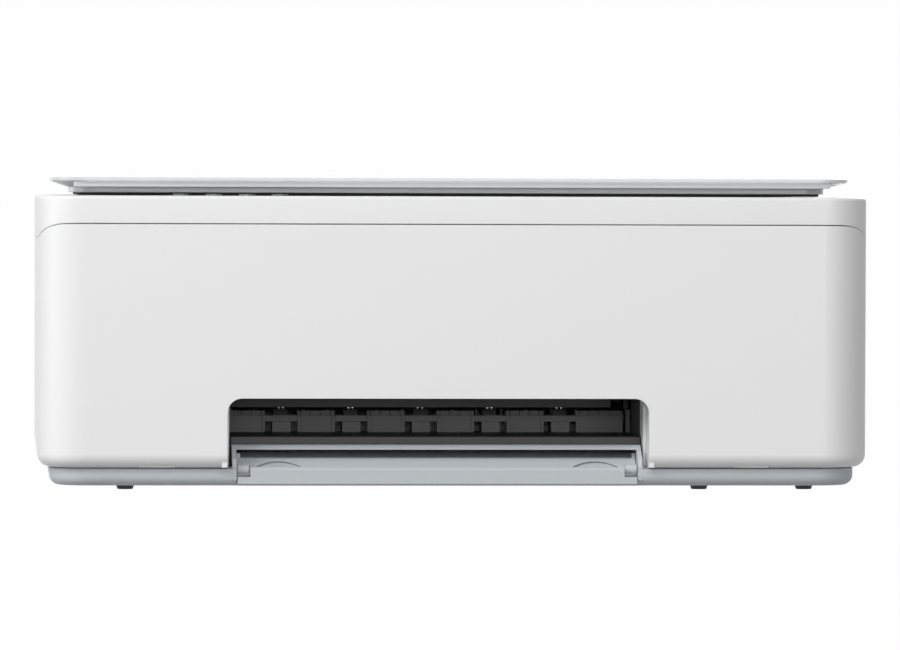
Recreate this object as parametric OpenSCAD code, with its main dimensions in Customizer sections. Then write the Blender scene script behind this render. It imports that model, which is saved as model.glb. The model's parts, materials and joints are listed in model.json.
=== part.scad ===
// A flat inkjet printer with a scanner on top: paper cassette below, printing
// mechanism in the middle, scanner unit and document lid above.
// Millimetres. X runs across the front, the front faces -Y, Z is up, and the
// table is at Z = 0. The paper path has its own centre line, left of the middle.

/* [Casing] */
// Width of casing over its sides
body_width = 456; // [448:1:470]
// Depth of casing from front to back
body_depth = 350; // [348:1:360]
// Radius of casing's upright corners
body_corner = 25; // [16:1:30]
// Height of casing's lower edge
shell_bottom = 12.2; // [11.8:0.1:12.6]
// Height of seam under scanner deck, at front
front_seam = 145; // [142:0.2:148]
// Height of same seam along sides and back
side_seam = 136.6; // [135:0.2:138]
// Length over which seam falls from front level to side level
seam_run = 27; // [24:1:60]
// Open gap of seam under scanner deck
seam_gap = 0.5; // [0.4:0.1:1.2]
// Wall thickness of casing mouldings
wall = 2.4; // [2:0.1:2.8]
// Radius rounded under casing's lower edge
shell_round = 7; // [5:0.5:8]
// Depth of flange turned in at casing's lower edge
shell_flange = 12; // [11:0.5:14]
// How far back wall is lowered under scanner hinge
hinge_relief = 3; // [2.6:0.1:5]

/* [Paper opening] */
// Width of widest paper that printer takes
paper_width = 210; // [206:1:211]
// Centre line of paper path, from middle of casing
path_x = -9.3; // [-11:0.1:-7]
// Width of opening in front
opening_width = 230.7; // [229:0.1:232]
// Height of top of opening
opening_top = 50.1; // [48:0.1:51]
// Radius of opening's upper corners
opening_corner = 8; // [5:0.5:14]
// Depth of lining that turns in from opening's edge
opening_return = 30; // [20:1:30]
// How far that lining narrows opening by its inner end
opening_taper = 2.2; // [1:0.1:2.4]
// Thickness of lining at opening's edge
opening_lip = 2; // [1.6:0.1:2.4]
// Thickness of dark liner's walls behind opening
liner_wall = 2; // [1.6:0.1:2.2]
// Gap between walls of paper bay and those of liner
liner_gap = 0.85; // [0.6:0.05:1.2]
// Gap between shelf's ends and liner's walls
shelf_gap = 0.5; // [0.3:0.1:0.8]
// Height of shelf above walls of paper bay
shelf_rise = 4.7; // [4.4:0.1:5]
// Distance of two lifting notches in from sides
notch_inset = 65; // [53:1:78]
// Width of a lifting notch
notch_width = 20; // [14:1:26]
// Height of a lifting notch
notch_height = 1.4; // [1:0.1:2]

/* [Back and side openings] */
// Width of jam door in back
door_width = 236; // [220:1:240]
// Height of jam door's lower edge
door_low = 18; // [17:0.5:20]
// Height of jam door
door_height = 58; // [54:1:62]
// Gap round jam door
door_gap = 0.7; // [0.5:0.1:1]
// How far cable socket is set back in back wall
socket_recess = 3; // [2.6:0.1:3.4]
// Distance of outermost vent slot in from side
vent_inset = 23; // [21:1:28]
// Number of vent slots
vent_count = 9; // [5:1:12]
// Distance between neighbouring vent slots
vent_pitch = 6; // [5:0.5:8]
// Width of a vent slot
vent_width = 2.2; // [1.5:0.1:3]
// Length of a vent slot
vent_length = 34; // [20:1:44]

/* [Base] */
// How far base stands in from casing all round
base_inset = 6.5; // [5:0.5:7]
// Height of base's underside
base_bottom = 2.2; // [2:0.1:3]
// Radius rounded under base's lower edge
base_round = 5.5; // [3:0.5:6]
// Open line between base and casing's lower edge
base_seam = 0.6; // [0.4:0.1:0.8]
// Height of walls beside paper bay
bay_wall_top = 24.1; // [23.6:0.1:24.4]
// Thickness of walls and roof of paper bay
bay_wall = 2.5; // [2:0.1:3]
// Room beside widest paper for tray's walls and guides
bay_spare = 10; // [9:0.5:11]
// Distance behind front at which bay's roof starts
roof_front = 21; // [18:1:24]
// Depth of bay's roof
roof_depth = 59; // [50:1:60]
// Diameter of a rubber foot at table
foot_diameter = 8.4; // [7:0.2:12]
// How much wider a foot is where it meets base
foot_flare = 1.6; // [0.8:0.2:2.4]
// Diameter of pins that locate feet
foot_pin = 4; // [3:0.2:5]
// Distance of feet from casing's front and back
foot_inset_y = 20; // [19:1:30]

/* [Paper tray] */
// Gap between tray and each wall of bay
tray_gap = 0.4; // [0.3:0.1:0.8]
// Thickness of tray's floor
tray_floor = 1.6; // [1.2:0.1:1.8]
// Thickness of tray's side walls
tray_wall = 1.8; // [1.4:0.1:2.2]
// Height of tray's side walls
tray_wall_top = 19.4; // [18:0.1:20]
// Height of front flap's top edge
flap_top = 12.4; // [11.6:0.1:13]
// Height of flap's hinge axis
flap_axis_z = 5; // [4.8:0.1:5.2]
// Distance of flap's hinge axis behind flap's face
flap_axis_back = 3.5; // [3.3:0.1:3.7]
// Thickness of flap at its lower bar
flap_thick = 5; // [4.6:0.1:5.2]
// Width of gap left for blocks at each upper corner of flap
flap_corner = 7; // [5:0.5:9]
// Width of a finger recess in tray's slope
finger_width = 25; // [18:1:28]
// Distance of finger recesses from paper path's centre line
finger_x = 87; // [70:0.5:90]
// Thickness of paper guides' plates
guide_plate = 1.2; // [1:0.1:1.5]
// Height of paper guides
guide_top = 17.5; // [14:0.5:18]

/* [Rollers] */
// Distance of eject roller's axis behind front
eject_y = 96; // [95:0.5:97]
// Height of eject roller's axis
eject_z = 36.2; // [36:0.1:36.4]
// Radius of eject rollers
eject_radius = 5; // [4.5:0.1:5.1]
// Radius of eject roller's shaft
eject_shaft = 2; // [1.5:0.1:2.5]
// Distance between neighbouring eject rollers
eject_pitch = 39; // [34:1:40]
// Number of eject rollers
eject_count = 5; // [3:1:5]
// Width of an eject roller
eject_width = 7.5; // [6:0.5:9]
// Radius of a star wheel
star_radius = 4; // [3.5:0.1:4.2]
// Height of front panels between eject rollers
panel_top = 38; // [37:0.1:38.6]
// Width of open slot on each side of a roller's box
panel_recess = 3.9; // [3:0.1:4.4]
// Points on a star wheel
star_points = 12; // [8:1:16]
// Thickness of a star wheel
star_thick = 0.8; // [0.6:0.1:1.2]
// Distance of feed roller's axis behind front
feed_y = 147; // [146:0.5:148]
// Height of feed roller's axis
feed_z = 35.2; // [35:0.1:35.4]
// Radius of feed roller
feed_radius = 6; // [5.5:0.1:6.1]
// Radius of pinch rollers
pinch_radius = 3; // [2.5:0.1:3.2]
// Radius of pins of pinch rollers
pinch_pin = 1; // [0.8:0.1:1.4]
// Thickness of paper between a pair of rollers
nip_gap = 0.15; // [0.1:0.05:0.3]
// Radial clearance of every running shaft in its bore
running_fit = 0.05; // [0.03:0.01:0.08]

/* [Gear train] */
// Module of gears
gear_module = 1; // [0.8:0.05:1.05]
// Teeth on motor's pinion
pinion_teeth = 14; // [12:1:18]
// Teeth on feed roller's gear
feed_teeth = 40; // [36:1:42]
// Teeth on idler gear
idler_teeth = 36; // [32:1:38]
// Teeth on eject roller's gear
eject_teeth = 34; // [32:1:36]
// Width of gears along their axes
gear_width = 5; // [3:0.5:6]
// Play between flanks of meshing teeth, measured on pitch circle
backlash = 0.16; // [0.12:0.02:0.3]
// Height of motor pinion's axis
pinion_z = 24; // [22:0.5:26]

/* [Print mechanism] */
// Gap between paper bay and left side plate
left_plate_gap = 42.2; // [38:0.1:46]
// Distance of right side plate in from side
right_plate_gap = 23; // [22:1:25]
// Thickness of steel plates
steel = 1.6; // [1.2:0.1:2]
// Height of side plates' lower edges
plate_bottom = 12; // [11:0.5:12]
// Height of rail plate's upper edge
rail_top = 112; // [106:1:116]
// Distance of rail plate behind front
rail_y = 189; // [186:1:192]
// Height of guide rod's axis
rod_z = 72; // [70:0.5:74]
// Distance of guide rod's axis behind front
rod_y = 171; // [170:0.5:172]
// Radius of guide rod
rod_radius = 4; // [3:0.1:4.5]
// Width of carriage
carriage_width = 80; // [70:1:84]
// Distance of parked carriage's middle from right side plate
carriage_park_gap = 45; // [44:1:50]
// Height of print heads' faces
head_z = 42.6; // [42.4:0.1:43]
// Height of cartridges' tops
cartridge_top = 90; // [84:1:96]
// Radius of carriage belt's pulleys
pulley_radius = 6; // [5:0.5:7]
// Thickness of toothed belts
belt_thick = 1.2; // [0.8:0.1:1.5]
// Width of toothed belts
belt_width = 5; // [4:0.5:5]
// Height of carriage belt's middle
belt_z = 90; // [88:0.5:92]

/* [Scanner] */
// Height of deck's top
deck_top = 160.5; // [160.1:0.1:161]
// Radius rounded along deck's upper edge
deck_edge = 2; // [1:0.1:2.3]
// Width of scan window
window_width = 304; // [298:1:310]
// Depth of scan window
window_depth = 220; // [212:1:224]
// Distance of scan window's middle behind casing's middle
window_y = 10; // [7:1:13]
// Thickness of platen glass
glass_thick = 2.8; // [2:0.1:3]
// Width of glass bonded under window's edge
glass_bond = 2; // [1.5:0.1:4]
// Height of underside of scanner tub
tub_bottom = 126; // [125:0.5:127]
// Distance of scanner tub in from sides
tub_inset = 16; // [13:1:18]
// Width of scan bar across its travel
scan_bar_width = 18; // [14:1:22]
// Distance of parked scan bar from tub's side
scan_park_gap = 46; // [42:1:50]
// Radius of scan bar's rod
scan_rod_radius = 3; // [2.5:0.1:3.5]
// Distance of scanner's hinge axis from back
hinge_back = 5.5; // [5:0.1:6]
// Height of scanner's hinge axis
hinge_z = 138.4; // [138:0.1:139]
// Radius of scanner hinge's knuckles
knuckle_radius = 2.9; // [2.6:0.1:2.95]
// Radius of pins in hinges
hinge_pin = 1.5; // [1.2:0.1:1.6]

/* [Buttons] */
// Diameter of a button's cap
button_diameter = 9; // [7:0.5:11]
// Distance between neighbouring buttons
button_pitch = 18; // [15:1:22]
// Distance of leftmost button in from side
button_inset = 78; // [68:1:88]
// Distance of buttons behind front
button_y = 12; // [11:0.5:13]
// How far a button goes down
button_travel = 0.8; // [0.5:0.1:1]
// Gap between a button's cap and its hole
button_gap = 0.3; // [0.2:0.05:0.5]

/* [Document lid] */
// Distance of lid's plate in from sides
lid_inset = 8.5; // [6:0.5:13]
// Distance of lid's front edge behind front
lid_front = 24; // [22:1:30]
// Height of lid's top
lid_top = 170.5; // [169.5:0.1:172]
// Thickness of lid's plate at its edge
lid_edge = 1.9; // [1.6:0.1:2.4]
// Drop of lid's underside from its edge to frame below it
lid_wedge = 3.4; // [2:0.1:4]
// Distance of lid's frame in from sides
lid_frame_inset = 19.7; // [18:0.1:28]
// How far frame's lower rim stands back from its face
lid_rim_inset = 3; // [2:0.5:4]
// Gap between deck and that rim
lid_rim_gap = 0.3; // [0.3:0.1:0.6]
// Distance of frame's front behind front
lid_frame_front = 45; // [40:1:50]
// Gap between deck and lid's frame
lid_gap = 1.7; // [1.2:0.1:2.2]
// Distance of lid's hinge axis from back
lid_hinge_back = 17; // [16:0.5:20]
// Height of lid's hinge axis above deck
lid_hinge_up = 4.7; // [4.5:0.1:5]
// Radius of lid hinge's knuckles
lid_knuckle = 2.5; // [2.3:0.1:2.6]

/* [Hidden] */
$fn = 48;
front = -body_depth / 2;
back = body_depth / 2;
half_w = body_width / 2;
// Clearance between pieces of different bodies that pass each other
clear = 0.4;
// Overshoot of a cut past the face it opens
past = 1;
blue_grey = [0.70, 0.73, 0.75];
white = [0.9, 0.9, 0.9];
dark = [0.25, 0.25, 0.26];
black = [0.12, 0.12, 0.13];
metal = [0.65, 0.66, 0.68];
nylon = [0.85, 0.85, 0.83];
pale = [0.78, 0.79, 0.8];
brass = [0.75, 0.6, 0.3];
green = [0.12, 0.35, 0.2];

base_width = body_width - 2 * base_inset;
base_depth = body_depth - 2 * base_inset;
base_corner = body_corner - base_inset / 2;
base_front = front + base_inset;
floor_top = base_bottom + wall;
bay_half = (paper_width + bay_spare) / 2;
portal_half = bay_half + bay_wall;
roof_under = bay_wall_top - bay_wall;
roof_y = front + roof_front;
roof_end = roof_y + roof_depth;

tray_half = bay_half - tray_gap;
tray_floor_z = floor_top + clear;
tray_inside_z = tray_floor_z + tray_floor;
flap_axis_y = base_front + flap_axis_back;

eject_axis = [front + eject_y, eject_z];
feed_axis = [front + feed_y, feed_z];
star_axis = [eject_axis[0], eject_z + eject_radius + nip_gap + star_radius];
pinch_axis = [feed_axis[0], feed_z + feed_radius + nip_gap + pinch_radius];

liner_half = portal_half + liner_gap + liner_wall;
left_plate_x = portal_half + left_plate_gap - path_x;
right_plate_x = half_w - right_plate_gap;
carriage_park = right_plate_x - carriage_park_gap;
notch_x = half_w - notch_inset;
vent_x = half_w - vent_inset;
gear_x = -left_plate_x - steel - 1 - gear_width;
rail_face = front + rail_y;
rod_axis = [front + rod_y, rod_z];
belt_y = rail_face - 1.5 - belt_width;

scan_seam = side_seam + seam_gap;
deck_under = deck_top - wall;
glass_bottom = deck_under - glass_thick;
window_from = window_y - window_depth / 2;
window_to = window_y + window_depth / 2;
tub_width = body_width - 2 * tub_inset;
scan_park = tub_width / 2 - scan_park_gap;
button_x = -half_w + button_inset;
lid_width = body_width - 2 * lid_inset;
lid_frame_width = body_width - 2 * lid_frame_inset;
tub_front = front + 25;
tub_back = back - 11;
scan_hinge = [back - hinge_back, hinge_z];
lid_hinge = [back - lid_hinge_back, deck_top + lid_hinge_up];
lid_under = lid_top - lid_edge;

// A box between two opposite corners
module block(low, high) translate(low) cube(high - low);

// A profile drawn in (Y, Z), carried along X from one place to another
module along_x(from, to) translate([from, 0, 0]) rotate([90, 0, 90]) linear_extrude(to - from) children();

// The same about a place, with its thickness
module slice_x(x, thick) along_x(x - thick / 2, x + thick / 2) children();

// The same piece on both sides of a place along X
module both(mid, away) for (side = [-1, 1]) translate([mid + side * away, 0, 0]) children();

// A profile drawn in (X, Z), carried along Y
module along_y(from, to) translate([0, to, 0]) rotate([90, 0, 0]) linear_extrude(to - from) children();

// A round bar along X, its axis given in (Y, Z)
module bar_x(from, to, axis, r) translate([from, axis[0], axis[1]]) rotate([0, 90, 0])
  cylinder(h = to - from, r = r);

// A round bar along Y, its axis given in (X, Z)
module bar_y(from, to, axis, r) translate([axis[0], from, axis[1]]) rotate([-90, 0, 0])
  cylinder(h = to - from, r = r);

// A rectangle with round corners, about the origin
module rounded_rect(w, d, r) {
  square([w - 2 * r, d], center = true);
  square([w, d - 2 * r], center = true);
  for (sx = [-1, 1], sy = [-1, 1]) translate([sx * (w / 2 - r), sy * (d / 2 - r)]) circle(r);
}

// A wall section (distance from the outer face, height) carried round a rounded rectangle
module wall_ring(w, d, r) {
  for (side = [0:3]) {
    across = side % 2 == 0;
    out = (across ? w : d) / 2;
    run = (across ? d : w) - 2 * r;
    rotate([0, 0, 90 * side]) {
      translate([out, run / 2, 0]) rotate([90, 0, 0]) linear_extrude(run) children();
      translate([out - r, run / 2, 0]) rotate_extrude(angle = 90) translate([r, 0]) children();
    }
  }
}

// The lower quarter of a ring, for a wall that turns in below
module quarter_ring(r, t) {
  intersection() {
    difference() {
      circle(r);
      circle(r - t);
    }
    translate([0, -r]) square(r);
  }
}

// Wall section: a flange turned in at the bottom, a round corner, and an upright wall
module wall_section(bottom, top, round_r, flange, t) {
  translate([-flange, bottom]) square([flange - round_r, t]);
  translate([-round_r, bottom + round_r]) quarter_ring(round_r, t);
  translate([-t, bottom + round_r]) square([t, top - bottom - round_r]);
}

// Outline of what lies above the seam: level in front, falling in an S to the sides
module above_seam(lift) {
  steps = 12;
  fall = [for (i = [0:steps]) [
    front + seam_run * i / steps,
    lift + side_seam + (front_seam - side_seam) * (1 + cos(180 * i / steps)) / 2
  ]];
  roof = deck_top + 20;
  polygon(concat([[front - past, front_seam + lift]], fall, [[back + past, side_seam + lift]],
    [[back + past, roof], [front - past, roof]]));
}

// A point turned about the origin
function turn(p, a) = [p[0] * cos(a) - p[1] * sin(a), p[0] * sin(a) + p[1] * cos(a)];

// Outline of an involute gear with one tooth centred on the angle phase
module gear_outline(teeth, phase) {
  pitch_r = gear_module * teeth / 2;
  base_r = pitch_r * cos(20);
  tip_r = pitch_r + gear_module;
  root_r = pitch_r - 1.25 * gear_module;
  start_r = max(base_r, root_r);
  roll = function (r) sqrt(max(0, (r / base_r) ^ 2 - 1)) * 180 / PI;
  polar = function (r) roll(r) - atan(roll(r) * PI / 180);
  half_tooth = 90 / teeth - backlash / 2 / pitch_r * 180 / PI / 2;
  flank = [for (r = [start_r, (start_r + pitch_r) / 2, pitch_r + gear_module / 3, tip_r])
    let (a = half_tooth + polar(pitch_r) - polar(r)) [r * cos(a), r * sin(a)]];
  foot_a = half_tooth + polar(pitch_r);
  tooth = concat([[root_r * cos(foot_a), -root_r * sin(foot_a)]], [for (p = flank) [p[0], -p[1]]],
    [for (i = [3:-1:0]) flank[i]], [[root_r * cos(foot_a), root_r * sin(foot_a)]]);
  polygon([for (k = [0:teeth - 1], p = tooth) turn(p, phase + 360 * k / teeth)]);
}

// Angle from one axis to another, both in (Y, Z)
function direction(a, b) = atan2(b[1] - a[1], b[0] - a[0]);
// Phase of a gear that meshes with another at the given phase
function meshing(phase, teeth, other, towards) =
  towards + 180 - (0.5 - (towards - phase) * teeth / 360) * 360 / other;
function pitch_radius(teeth) = gear_module * teeth / 2;

// The idler stands above the line from the feed axis to the eject axis
feed_idler = pitch_radius(feed_teeth) + pitch_radius(idler_teeth);
idler_eject = pitch_radius(idler_teeth) + pitch_radius(eject_teeth);
feed_eject = norm(eject_axis - feed_axis);
idler_lift = acos((feed_idler ^ 2 + feed_eject ^ 2 - idler_eject ^ 2) / (2 * feed_idler * feed_eject));
idler_way = direction(feed_axis, eject_axis) - idler_lift;
idler_axis = feed_axis + feed_idler * [cos(idler_way), sin(idler_way)];
feed_pinion = pitch_radius(feed_teeth) + pitch_radius(pinion_teeth);
pinion_axis = [feed_axis[0] + sqrt(feed_pinion ^ 2 - (feed_z - pinion_z) ^ 2), pinion_z];
idler_phase = meshing(0, feed_teeth, idler_teeth, direction(feed_axis, idler_axis));
eject_phase = meshing(idler_phase, idler_teeth, eject_teeth, direction(idler_axis, eject_axis));
pinion_phase = meshing(0, feed_teeth, pinion_teeth, direction(feed_axis, pinion_axis));

// Height of the sloping guide over the paper bay at a place along Y
guide_front = feed_axis[0] + feed_radius + 2;
turn_radius = 20;
turn_axis = [back - 39, 35];
function guide_z(y) = feed_z + feed_radius - 2.5
  + (turn_axis[1] + turn_radius - feed_z - feed_radius + 2.5) * (y - guide_front)
    / (turn_axis[0] - guide_front);
pick_pivot = [back - 123, 39];
pick_axis = [back - 77, tray_inside_z + 12.6];
pick_radius = 10;
pick_reach = norm(pick_axis - pick_pivot);

// Moulded base: a dished rim, a floor, and the walls and roof of the paper bay
module base_housing() {
  color(blue_grey) {
    difference() {
      union() {
        wall_ring(base_width, base_depth, base_corner)
          base_section();
        translate([0, 0, base_bottom]) linear_extrude(wall)
          rounded_rect(base_width - 2 * base_round, base_depth - 2 * base_round, base_corner - base_round);
        // Top of the base on both sides of the tray, seen through the opening
        both(path_x, portal_half + 12)
          block([-14, base_front + 1, shell_bottom - wall], [14, roof_y + 30, shell_bottom]);
      }
      block([path_x - bay_half, front - past, 0], [path_x + bay_half, base_front + 8, shell_bottom + past]);
      for (p = foot_places) translate([p[0], p[1], 0]) cylinder(h = floor_top + past, d = foot_pin);
    }
    // Bay walls and roof, the walls' front edges raked back
    difference() {
      slice_x(path_x, 2 * portal_half) polygon([
        [base_front + 0.2, base_bottom + 3], [base_front + 0.2, shell_bottom],
        [base_front + 1.6, shell_bottom + 4.5], [roof_y - 2.5, bay_wall_top - 1.2],
        [roof_y, bay_wall_top], [back - 25, bay_wall_top], [back - 25, base_bottom + 3]]);
      block([path_x - bay_half, front - past, 0], [path_x + bay_half, roof_end, roof_under]);
      block([path_x - bay_half, roof_end - past, 0], [path_x + bay_half, back, bay_wall_top + past]);
    }
    // Seats for the side plates of the mechanism
    for (x = [-left_plate_x - steel / 2, right_plate_x - steel / 2, mid_plate_x])
      for (y = [plate_front + 6, rail_face - 6])
        translate([x - 5, y - 5, floor_top - 0.4]) cube([10, 10, plate_bottom - floor_top + 0.4]);
  }
}
// Rim of the base, stepped back at its top so that a dark line stays open under the casing
module base_section() {
  wall_section(base_bottom, shell_bottom - base_seam, base_round, base_round + 1, wall);
  translate([-wall, shell_bottom - base_seam - past]) square([wall - 1, base_seam + past]);
}
foot_places = [
  for (x = [-half_w + 48, half_w - 34.5]) for (y = [front + foot_inset_y, back - foot_inset_y]) [x, y],
  [half_w - 92.5, front + foot_inset_y]
];
plate_front = front + 80;
mid_plate_x = path_x + bay_half + 8;

// Five turned rubber feet with pins pressed into the base's floor
module rubber_feet() {
  color(black) for (p = foot_places) translate([p[0], p[1], 0]) {
    cylinder(h = base_bottom, d1 = foot_diameter, d2 = foot_diameter + foot_flare);
    translate([0, 0, base_bottom]) cylinder(h = wall, d = foot_pin);
  }
}

// White casing wrapped round all four sides
module outer_shell() {
  color(white) difference() {
    union() {
      wall_ring(body_width, body_depth, body_corner)
        wall_section(shell_bottom, front_seam, shell_round, shell_flange, wall);
      opening_lining();
    }
    along_x(-half_w - past, half_w + past) above_seam(0);
    block([-half_w - past, back - wall - 4, side_seam - hinge_relief], [half_w + past, back + past,
      front_seam + past]);
    // The paper opening runs down through the lower edge
    along_y(front - past, front + shell_flange + 8) opening_outline();
    both(0, notch_x) block(
      [-notch_width / 2, front - past, shell_bottom - past], [notch_width / 2, front + shell_round,
        shell_bottom + notch_height]);
    // Jam door, power inlet, cable port and vents in the back
    block([path_x - door_width / 2, back - wall - past, door_low], [path_x + door_width / 2, back + past,
      door_low + door_height]);
    block([inlet_x - inlet_width / 2, back - wall - past, inlet_z - inlet_height / 2],
      [inlet_x + inlet_width / 2, back + past, inlet_z + inlet_height / 2]);
    block([usb_x - usb_width / 2, back - shell_round - past, board_top - 0.2],
      [usb_x + usb_width / 2, back + past, board_top + usb_height + 0.2]);
    for (i = [0:vent_count - 1]) translate([-vent_x + i * vent_pitch, 0, 50])
      block([-vent_width / 2, back - wall - past, 0], [vent_width / 2, back + past, vent_length]);
  }
}

module opening_outline() {
  low = shell_bottom - past;
  translate([path_x, 0]) {
    translate([-opening_width / 2, low]) square([opening_width, opening_top - opening_corner - low]);
    translate([-opening_width / 2 + opening_corner, low]) square([opening_width - 2 * opening_corner,
      opening_top - low]);
    for (side = [-1, 1]) translate([side * (opening_width / 2 - opening_corner),
      opening_top - opening_corner])
      circle(opening_corner);
  }
}

// Lining turned in from the opening's edge: two cheeks and a top that narrow it inwards
module opening_lining() {
  from = front + wall / 2;
  to = front + opening_return;
  for (side = [-1, 1]) translate([path_x, 0, shell_bottom + 0.2])
    linear_extrude(opening_top + opening_lip - shell_bottom - 0.2)
    scale([side, 1]) polygon([
      [opening_width / 2, from], [opening_width / 2 + opening_lip + 1, from],
      [opening_width / 2 - opening_taper + opening_lip, to], [opening_width / 2 - opening_taper, to]]);
  along_x(path_x - opening_width / 2 - opening_lip, path_x + opening_width / 2 + opening_lip) polygon([
    [from, opening_top], [from, opening_top + opening_lip], [to, opening_top + opening_lip], [to,
      opening_top + 0.4]]);
}

// Shelf under the printed sheets: a dark skin with a front lip, on cross ribs
module output_shelf() {
  left = path_x - portal_half - liner_gap + shelf_gap;
  right = path_x + portal_half + liner_gap - shelf_gap;
  lip = roof_y + 4;
  end = plate_front + 3;
  high = bay_wall_top + shelf_rise;
  skin = 2;
  color(dark) {
    along_x(left, right) polygon([[lip, bay_wall_top], [lip, high - 0.6], [lip + 0.6, high], [end, high],
      [end, high - skin], [lip + skin, high - skin], [lip + skin, bay_wall_top]]);
    ribs = 9;
    for (i = [0:ribs]) translate([left + (right - left - 1.5) * i / ribs, 0, 0])
      block([0, lip + skin, bay_wall_top], [1.5, end, high - skin]);
  }
}

// Dark tunnel over the shelf: two side walls and a roof
module output_liner() {
  from = front + opening_return + 1.5;
  to = plate_front + 3;
  top = opening_top + 4.3;
  color(dark) {
    both(path_x, liner_half - liner_wall / 2)
      block([-liner_wall / 2, from, shell_bottom], [liner_wall / 2, to, top]);
    block([path_x - liner_half, from, top - liner_wall], [path_x + liner_half, to, top]);
  }
}

// X places of the eject rollers and star wheels
eject_shift = 4.4;
eject_places = [for (i = [0:eject_count - 1]) path_x - eject_shift + (i - (eject_count - 1)
  / 2) * eject_pitch];
eject_left = path_x - bay_half - 2;
eject_right = path_x + bay_half + 3;
// Top of the posts that carry the eject shaft and the bar over it
post_top = eject_z + eject_radius + 0.1;

// Front of the print bed: panels between open roller boxes, and end posts that carry the shaft
module eject_frame() {
  face = plate_front + 7;
  skin = 1.6;
  rear = eject_axis[0] + eject_radius + 2.4;
  low = bay_wall_top + 2.6;
  box = eject_width / 2 + 1.4;
  box_top = eject_z - 1.6;
  slot = box + panel_recess;
  rib = 1.7;
  color(dark) difference() {
    union() {
      block([eject_left, face, low], [eject_right, rear, low + 2]);
      for (i = [0:eject_count]) {
        from = i == 0 ? eject_left : eject_places[i - 1] + slot;
        to = i == eject_count ? eject_right - 4 : eject_places[i] - slot;
        block([from, face, low], [to, face + skin, panel_top]);
        // Comb behind the panel
        block([from, face + 2 * skin, low], [to, face + 3 * skin, panel_top + 2.6]);
        for (x = [from + 2:5.5:to - 1.5])
          block([x, face + skin / 2, panel_top - 4], [x + 1, face + 3 * skin, panel_top + 2.6]);
      }
      for (x = eject_places) {
        block([x - box, face - 3, low], [x + box, face + skin, box_top]);
        block([x - slot, face, box_top], [x + slot, face + skin, panel_top]);
        both(x, slot + rib / 2) block([-rib / 2, face - 0.8, low], [rib / 2, face + skin, panel_top]);
        both(x, box - 0.5) block([-0.5, face, low], [0.5, rear, eject_z + 0.6]);
      }
      for (x = [eject_left, eject_right - 2.5])
        block([x, face - 1, bay_wall_top], [x + 2.5, rear, post_top]);
    }
    bar_x(eject_left - past, eject_right + past, eject_axis, eject_shaft + running_fit);
  }
}

// Eject shaft with its rollers and gear
module eject_rollers() {
  color(black) {
    for (x = eject_places) bar_x(x - eject_width / 2, x + eject_width / 2, eject_axis, eject_radius);
    bar_x(gear_x, eject_right + 1, eject_axis, eject_shaft);
    along_x(gear_x, gear_x + gear_width) translate(eject_axis) gear_outline(eject_teeth, eject_phase);
  }
}

// Bar over the eject rollers: an upside-down channel with ears for the star wheels' axles
star_gap = 2.4;
star_pin = 0.8;
star_top = opening_top + 2.1;
star_rear = eject_axis[0] + 8;
module star_holder() {
  left = eject_left;
  right = path_x + 102;
  face = eject_axis[0] - 11;
  rear = star_rear;
  low = eject_z + eject_radius + 1.4;
  skin = 1.8;
  color(black) difference() {
    union() {
      block([left, face, low], [right, face + skin, star_top]);
      block([left, face, star_top - skin], [right, rear, star_top]);
      block([left, rear - skin, star_top - 4], [right, rear, star_top]);
      for (x = eject_places) both(x, star_gap / 2 + 2)
        block([-0.7, face, star_axis[1] - 1.6], [0.7, rear, star_top]);
      block([left, face, low], [left + 2, rear, star_top]);
      block([right - 2, face, low + 1], [right, rear, star_top]);
      // Feet on the end posts of the roller frame, the right one on an arm
      block([left, rear - 5, post_top], [left + 2, rear, star_top]);
      block([right - past, rear - 5, star_top - 4], [eject_right, rear, star_top]);
      block([eject_right - 2.5, rear - 5, post_top], [eject_right, rear, star_top]);
    }
    for (x = eject_places) bar_x(x - 6, x + 6, star_axis, star_pin + running_fit);
  }
}

// Star wheels in pairs, each pair on one short axle
module star_wheels() {
  color(metal) for (x = eject_places) {
    bar_x(x - star_gap / 2 - 2.6, x + star_gap / 2 + 2.6, star_axis, star_pin);
    for (side = [-1, 1]) {
      at = x + side * star_gap / 2 - star_thick / 2;
      along_x(at, at + star_thick) translate(star_axis) polygon([for (i = [0:2 * star_points - 1])
        (i % 2 == 0 ? star_radius : star_radius * 0.72) * [cos(180 * i / star_points),
          sin(180 * i / star_points)]]);
    }
  }
}

// Ribbed print bed between the rollers
platen_front = eject_axis[0] + 8.5;
platen_back = feed_axis[0] - feed_radius - 4;
module platen() {
  low = bay_wall_top;
  color(dark) difference() {
    union() {
      block([eject_left, platen_front, low], [eject_right, platen_back, low + 8]);
      pitch = 14;
      for (i = [-7:7]) block([path_x + i * pitch - 0.6, platen_front, low + 8], [path_x + i * pitch + 0.6,
        platen_back, feed_z + feed_radius - 0.4]);
    }
    block([path_x - bay_half + 4, platen_front + 3, low + 4], [path_x + bay_half - 4, platen_back - 3,
      low + 20]);
  }
  color(dark) for (i = [-7:7])
    block([path_x + i * 14 - 0.6, platen_front + 2, low + 3], [path_x + i * 14 + 0.6, platen_back - 2,
      feed_z + feed_radius - 0.4]);
}

// Foam strips that catch ink at the sheet's edges, between the ribs
module platen_foam() {
  color(nylon) for (i = [-7:6])
    block([path_x + i * 14 + 1, platen_front + 7, bay_wall_top + 4], [path_x + (i + 1) * 14 - 1,
      platen_back - 7, bay_wall_top + 10]);
}

// Feed roller: steel shaft, coated barrel and gear
module feed_roller() {
  color(metal) {
    bar_x(gear_x, mid_plate_x + steel + 2, feed_axis, 3);
    bar_x(path_x - bay_half + 2, path_x + bay_half - 2, feed_axis, feed_radius);
  }
  color(nylon) along_x(gear_x, gear_x + gear_width) translate(feed_axis) gear_outline(feed_teeth, 0);
}

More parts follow.
